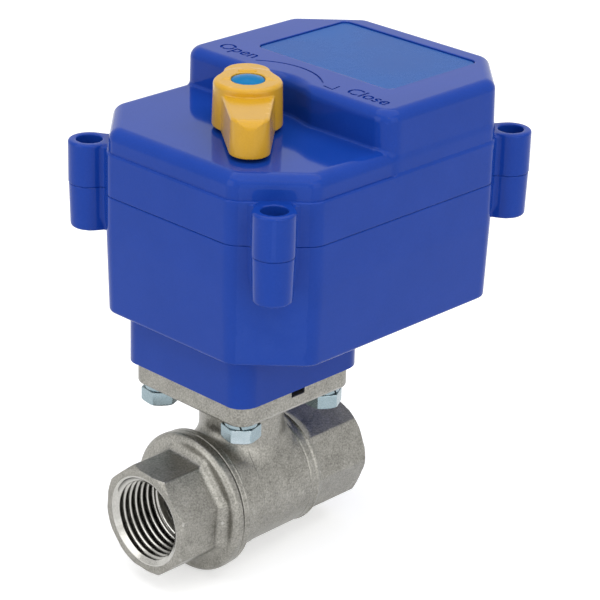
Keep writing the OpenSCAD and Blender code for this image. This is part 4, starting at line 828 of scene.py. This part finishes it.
def lathe(name, profile, finish, steps):
    made = bmesh.new()
    rings = []
    for s in range(steps):
        a = 2 * math.pi * s / steps
        rings.append([made.verts.new((radius * math.cos(a), radius * math.sin(a), z)) for z, radius in profile])
    for s in range(steps):
        a, b = rings[s], rings[(s + 1) % steps]
        for k in range(len(profile) - 1):
            made.faces.new((a[k], a[k + 1], b[k + 1], b[k]))
    bmesh.ops.remove_doubles(made, verts=made.verts, dist=1e-4)
    made.transform(Matrix.Scale(0.001, 4) @ Matrix.Translation((stemX, 0, 0)))
    mesh = keepMesh(made, bpy.data.meshes.new(name))
    mesh.shade_smooth()
    mesh.set_sharp_from_angle(angle=math.radians(35))
    return linkPiece(name, mesh, finish)


capLook = {"radius": 3.75, "rise": 0.8, "top": 99.9, "foot": 98.5, "footEdge": 0.1, "rim": 0.08, "rings": 18,
           "steps": 72}


def makeCap(look=capLook):
    dome = (look["radius"] ** 2 + look["rise"] ** 2) / (2 * look["rise"])
    profile = [(look["foot"], 0.0), (look["foot"], look["radius"] - look["footEdge"]),
               (look["foot"] + look["footEdge"], look["radius"]), (look["top"] - look["rim"], look["radius"])]
    for k in range(1, look["rings"] + 1):
        r = look["radius"] * (1 - k / look["rings"])
        profile.append((look["top"] + look["rise"] - dome + math.sqrt(dome ** 2 - r ** 2), r))
    piece = lathe("knobCap", profile, "blueCap", look["steps"])
    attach(piece, "knob_group")
    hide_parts("knob_cap")


makeKnob()
makeCap()


# nickel valve body and inlet end
bodyLook = {
    "seamX": -14.9, "rimX": -12.9, "rimRadius": 16.8, "coneX": -11.3, "barrelX": -13.5, "barrel": 14.5,
    "barrelFar": 14.1, "shoulderX": 12.8, "shoulderEnd": 14.8, "outletX": 30.0, "flats": 25.0, "chamfer": 0.95,
    "chamber": 12.2, "flow": 7.5, "neck": 10.0, "flangeHalf": 18.35, "flangeCorner": 4.0, "flangeZ": 25.5,
    "flangeTop": 31.1, "boltAt": 13.4, "slotHalf": 2.1, "slotDepth": 2.4,
    "bandEnd": -6.2, "bandStep": 0.18, "joinX": 9.6, "seamLine": 0.14, "portBore": 10.95, "portDepth": 12.9,
    "stemBore": 4.55, "packing": (6.5, 17.2), "collarRecess": (6.2, 14.35), "boltBore": 2.75, "chamberEnd": 10.5,
}
inletLook = {
    "mouthX": -31.0, "turnDegrees": 26.5, "eightEnd": -16.4, "ringRadius": 16.98, "ringFrom": -17.9,
    "ringEnd": -15.4, "ringEdge": 1.5, "ringJoin": 2.2, "noseRadius": 12.15, "noseFrom": -17.0, "noseEnd": -10.5,
}


def octagonEnd(x, y, z, low, high, turnDegrees, chamferAt, look):
    eight = evenPlan(y, z, 8, look["flats"], turnDegrees, 0.35)
    eight = np.maximum(eight, np.maximum(low - x, x - high))
    radial = np.hypot(y, z)
    corner = look["flats"] / math.cos(math.radians(22.5)) / 2 + 0.1
    face = corner - look["chamfer"]
    gap = np.abs(x - chamferAt)
    return np.maximum(eight, (radial - face - gap) / math.sqrt(2))


def bodyShape(x, y, z, look=bodyLook):
    radial = np.hypot(y, z)
    # the band behind the rim stands a little proud, and a fine line marks where the shoulder starts
    step = look["bandStep"] * np.clip((x - look["bandEnd"]) / 0.25, 0, 1)
    seam = look["seamLine"] * np.clip(1 - np.abs(x - look["joinX"]) / 0.4, 0, 1)
    barrel = cone(x, radial + step + seam, look["barrelX"], look["barrel"], look["shoulderX"],
                  look["barrelFar"] + look["bandStep"])
    shoulder = cone(x, radial, look["shoulderX"] - 0.6, look["barrelFar"], look["shoulderEnd"],
                    look["flats"] / 2 - 0.3)
    rim = roundMax(radial - look["rimRadius"], np.maximum(look["seamX"] - x, x - look["rimX"]), 0.4)
    slope = cone(x, radial, look["rimX"] - 0.4, look["rimRadius"] - 0.3, look["coneX"], look["barrel"])
    solid = roundMin(barrel, shoulder, 0.8)
    solid = np.minimum(solid, roundMin(rim, slope, 0.3))
    eight = octagonEnd(x, y, z, look["shoulderX"] + 1, look["outletX"], 0, look["outletX"], look)
    solid = roundMin(solid, eight, 0.8)
    solid = np.maximum(solid, look["seamX"] - x)
    neck = np.maximum(np.hypot(x, y) - look["neck"], np.maximum(-z, z - 27))
    flange = roundMax(softRectangle(x, y, look["flangeHalf"], look["flangeHalf"], look["flangeCorner"]),
                      np.maximum(look["flangeZ"] - z, z - look["flangeTop"]), 0.7)
    solid = roundMin(solid, neck, 2.6)
    solid = roundMin(solid, flange, 1.6)
    solid = np.maximum(solid, z - look["flangeTop"])
    chamber = np.maximum(radial - look["chamber"], np.maximum(look["seamX"] - 1 - x, x - look["chamberEnd"]))
    bore = np.minimum(chamber, radial - look["flow"])
    port = np.maximum(radial - look["portBore"], look["outletX"] - look["portDepth"] - x)
    solid = np.maximum(solid, -np.minimum(np.maximum(bore, -x - 16), port))
    stem = np.maximum(np.hypot(x, y) - look["stemBore"], -z)
    packing = np.maximum(np.hypot(x, y) - look["packing"][0], look["packing"][1] - z)
    recess = np.maximum(np.hypot(x, y) - look["collarRecess"][0], np.maximum(-z, z - look["collarRecess"][1]))
    solid = np.maximum(solid, -np.minimum(np.minimum(stem, packing), recess))
    boltHoles = holes(x, y, fourCorners(look["boltAt"]), look["boltBore"])
    solid = np.maximum(solid, -np.maximum(boltHoles, look["flangeZ"] - 2 - z))
    slot = np.maximum(np.abs(x) - look["slotHalf"], look["flangeTop"] - look["slotDepth"] - z)
    return cutAway(solid, slot, 0.25)


def inletShape(x, y, z, look=inletLook):
    radial = np.hypot(y, z)
    mouth = look["mouthX"]
    eight = octagonEnd(x, y, z, mouth, look["eightEnd"], look["turnDegrees"], mouth, bodyLook)
    ring = roundMax(radial - look["ringRadius"], look["ringFrom"] - x, look["ringEdge"])
    ring = np.maximum(ring, x - look["ringEnd"])
    solid = roundMin(np.maximum(eight, x - look["eightEnd"]), ring, look["ringJoin"])
    solid = np.maximum(solid, x - look["ringEnd"])
    nose = np.maximum(radial - look["noseRadius"], np.maximum(look["noseFrom"] - x, x - look["noseEnd"]))
    solid = np.minimum(solid, nose)
    port = np.maximum(radial - bodyLook["portBore"], x - mouth - bodyLook["portDepth"])
    return np.maximum(solid, -np.minimum(radial - bodyLook["flow"], port))


def makeValveBody():
    xs = gridLines(-19.5, 31.2, 0.9, [(-19.0, -10.2, 0.3), (-6.8, -5.6, 0.16), (-3.0, -1.6, 0.3), (1.6, 3.0, 0.3),
                                      (9.0, 10.2, 0.2), (10.2, 18.8, 0.42), (28.6, 30.6, 0.25)])
    ys = gridLines(-19.5, 19.5, 0.8, [(-18.9, -12.0, 0.42), (12.0, 18.9, 0.42), (-12.0, 12.0, 0.55)])
    zs = gridLines(-18, 32, 0.6, [(-17.4, -9.8, 0.42), (9.8, 15.6, 0.42), (22.6, 31.6, 0.34)])
    piece = shapePiece("valveBody", bodyShape, xs, ys, zs, "castNickel")
    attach(piece, "actuator")
    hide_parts("valve_body")


def makeInletEnd():
    xs = gridLines(-32, -9.5, 0.9, [(-31.4, -29.6, 0.22), (-20.8, -14.8, 0.26), (-11.0, -10.0, 0.3)])
    ys = gridLines(-18, 18, 0.42, [])
    zs = gridLines(-18, 18, 0.42, [])
    piece = shapePiece("inletEnd", inletShape, xs, ys, zs, "castNickel")
    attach(piece, "actuator")
    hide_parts("inlet_end")


threadLook = {"minor": 9.3155, "major": 10.478, "pitch": 1.814, "length": 13.0, "mouth": 10.9, "mouthDepth": 0.8,
              "outer": 10.97, "rows": 150, "steps": 120}


def threadRadius(look, depth, turn):
    phase = np.mod(depth / look["pitch"] - turn, 1.0)
    wave = np.abs(2 * phase - 1)
    height = np.clip((wave - 0.5) * 1.22 + 0.5, 0, 1)
    height = height * height * (3 - 2 * height) * 0.35 + height * 0.65
    fade = np.clip((look["length"] - 0.3 - depth) / 0.8, 0, 1)
    radius = look["minor"] + (look["major"] - look["minor"]) * height * fade
    sink = look["mouth"] - depth * (look["mouth"] - look["minor"]) / look["mouthDepth"]
    return np.maximum(radius, sink)


def makeThread(name, mouthX, inward, body, look=threadLook):
    depth = np.linspace(0, look["length"] - 0.12, look["rows"])
    turn = np.arange(look["steps"]) / look["steps"]
    radius = threadRadius(look, depth[:, None], turn[None, :] * (1 if inward > 0 else -1))
    outer = np.full((1, look["steps"]), look["outer"])
    along = np.concatenate([depth, depth[-1:], depth[:1]])
    rings = np.concatenate([radius, outer, outer])
    a = 2 * np.pi * turn
    x = np.repeat(mouthX + inward * along, look["steps"])
    points = np.stack([x, (rings * np.cos(a)).ravel(), (rings * np.sin(a)).ravel()], axis=1)
    rows, steps = len(along), look["steps"]
    faces = []
    for i in range(rows):
        nextRow = (i + 1) % rows
        for k in range(steps):
            right = (k + 1) % steps
            quad = (i * steps + k, nextRow * steps + k, nextRow * steps + right, i * steps + right)
            faces.append(quad if inward < 0 else quad[::-1])
    mesh = meshFrom(name, points, faces)
    # painted shade mask: crest is 0 in the thread's roots, where the painted shade goes, and 1 on the crests and
    # the mouth's countersink
    crest = mesh.attributes.new("crest", "FLOAT", "POINT")
    height = np.clip((look["major"] + 0.1 - rings) / (look["major"] - look["minor"]), 0, 1)
    sink = look["mouth"] - along[:, None] * (look["mouth"] - look["minor"]) / look["mouthDepth"]
    height = np.where(rings <= sink + 0.1, 1.0, height).ravel()
    crest.data.foreach_set("value", np.clip(height * 1.5 - 0.1, 0, 1).astype(np.float32))
    made = bmesh.new()
    made.from_mesh(mesh)
    keepMesh(made, mesh)
    mesh.shade_smooth()
    mesh.set_sharp_from_angle(angle=math.radians(50))
    piece = linkPiece(name, mesh, "turnedNickel")
    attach(piece, body)
    print(name, len(mesh.polygons) * 2, "triangles")


makeValveBody()
makeInletEnd()
makeThread("inletThread", -31.0, 1, "actuator")
makeThread("outletThread", 30.0, -1, "actuator")


# bolts and washers, by Geometry Nodes
boltLook = {"flats": 8.0, "headFoot": 20.7, "headTop": 24.2, "crown": 4.05, "crownSlope": 1.6, "shank": 2.5,
            "shankTop": 40.2, "washerTop": 25.5, "washerRadius": 3.85, "washerHole": 2.6, "square": 26.8,
            "headTurn": (15.0, 7.0), "splitTurn": (225.0, 24.0)}


def boltShape(x, y, z, look=boltLook):
    radial = np.hypot(x, y)
    head = roundMax(evenPlan(x, y, 6, look["flats"], 0, 0.15),
                    np.maximum(look["headFoot"] - z, z - look["headTop"]), 0.25)
    slope = look["crownSlope"]
    crown = (radial - look["crown"] - (z - look["headFoot"]) * slope) / math.hypot(1, slope)
    head = roundMax(head, crown, 0.1)
    shank = np.maximum(radial - look["shank"], np.maximum(look["headTop"] - 0.5 - z, z - look["shankTop"]))
    return np.minimum(head, shank)


def washerShape(x, y, z, look=boltLook):
    radial = np.hypot(x, y)
    outer, inner, top, foot = look["washerRadius"], look["washerHole"], look["washerTop"], look["headTop"]
    ring = roundMax(np.abs(radial - (outer + inner) / 2) - (outer - inner) / 2,
                    np.abs(z - (top + foot) / 2) - (top - foot) / 2, 0.15)
    gap = np.maximum(np.abs(y * 0.94 + (z - look["headTop"]) * 0.34 - 0.1) - 0.22, -x)
    return np.maximum(ring, -gap)


def instanceTree(name, finish):
    tree = bpy.data.node_groups.new(name, "GeometryNodeTree")
    for label, kind, way in (("Shape", "NodeSocketGeometry", "INPUT"), ("Size X", "NodeSocketFloat", "INPUT"),
                             ("Size Y", "NodeSocketFloat", "INPUT"), ("Centre", "NodeSocketVector", "INPUT"),
                             ("Turn", "NodeSocketFloat", "INPUT"), ("Turn Step", "NodeSocketFloat", "INPUT"),
                             ("Geometry", "NodeSocketGeometry", "OUTPUT")):
        tree.interface.new_socket(label, in_out=way, socket_type=kind)
    entry, leave = tree.nodes.new("NodeGroupInput"), tree.nodes.new("NodeGroupOutput")
    grid = addNode(tree, "GeometryNodeMeshGrid", {
        "Size X": entry.outputs["Size X"], "Size Y": entry.outputs["Size Y"], "Vertices X": 2, "Vertices Y": 2})
    moved = addNode(tree, "GeometryNodeTransform", {"Geometry": grid.outputs["Mesh"],
                                                    "Translation": entry.outputs["Centre"]})
    index = addNode(tree, "GeometryNodeInputIndex")
    angle = calculate(tree, "MULTIPLY_ADD", index.outputs[0], entry.outputs["Turn Step"], entry.outputs["Turn"])
    spin = addNode(tree, "ShaderNodeCombineXYZ", {"Z": angle})
    placed = addNode(tree, "GeometryNodeInstanceOnPoints", {
        "Points": moved.outputs["Geometry"], "Instance": entry.outputs["Shape"], "Rotation": spin.outputs[0]})
    real = addNode(tree, "GeometryNodeRealizeInstances", {"Geometry": placed.outputs["Instances"]})
    dressed = addNode(tree, "GeometryNodeSetMaterial", {"Geometry": real.outputs[0]})
    dressed.inputs["Material"].default_value = finishes[finish]
    tree.links.new(dressed.outputs[0], leave.inputs["Geometry"])
    return tree


def repeatOnCorners(name, mesh, finish, size, turnDegrees, stepDegrees):
    source = addToScene(name + "Source", mesh)
    tree = instanceTree(name + "Nodes", finish)
    step = source.modifiers.new("repeat", "NODES")
    step.node_group = tree
    values = {"Size X": size, "Size Y": size, "Centre": (stemX / 1000, 0, 0),
              "Turn": math.radians(turnDegrees), "Turn Step": math.radians(stepDegrees)}
    for socket in tree.interface.items_tree:
        if socket.in_out == "INPUT" and socket.name in values:
            step[socket.identifier] = values[socket.name]
    made = meshOf(source)
    bpy.data.objects.remove(source)
    made.name = name
    made.materials.clear()
    return linkPiece(name, made, finish)


def unitMesh(name, shape, xs, ys, zs):
    points, quads = netMesh(shape, xs, ys, zs)
    mesh = bpy.data.meshes.new(name)
    mesh.from_pydata((points / 1000).tolist(), [], quads.tolist())
    mesh.shade_smooth()
    mesh.set_sharp_from_angle(angle=math.radians(32))
    return mesh


def makeBolts(look=boltLook):
    lines = gridLines(-5, 5, 0.3, [])
    heights = gridLines(20.2, 40.8, 2.0, [(20.5, 21.9, 0.16), (23.8, 24.5, 0.2)])
    head = unitMesh("boltOne", boltShape, lines, lines, heights)
    bolts = repeatOnCorners("flangeBolts", head, "zincPlate", look["square"] / 1000, *look["headTurn"])
    lines = gridLines(-4.6, 4.6, 0.22, [])
    ring = unitMesh("washerOne", washerShape, lines, lines, gridLines(23.9, 25.8, 0.18, []))
    washers = repeatOnCorners("boltWashers", ring, "zincPlate", look["square"] / 1000, *look["splitTurn"])
    for piece, node in ((bolts, "flange_bolts"), (washers, "bolt_washers")):
        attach(piece, "actuator")
        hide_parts(node)
    print("bolts and washers", len(bolts.data.polygons) + len(washers.data.polygons), "faces")


makeBolts()
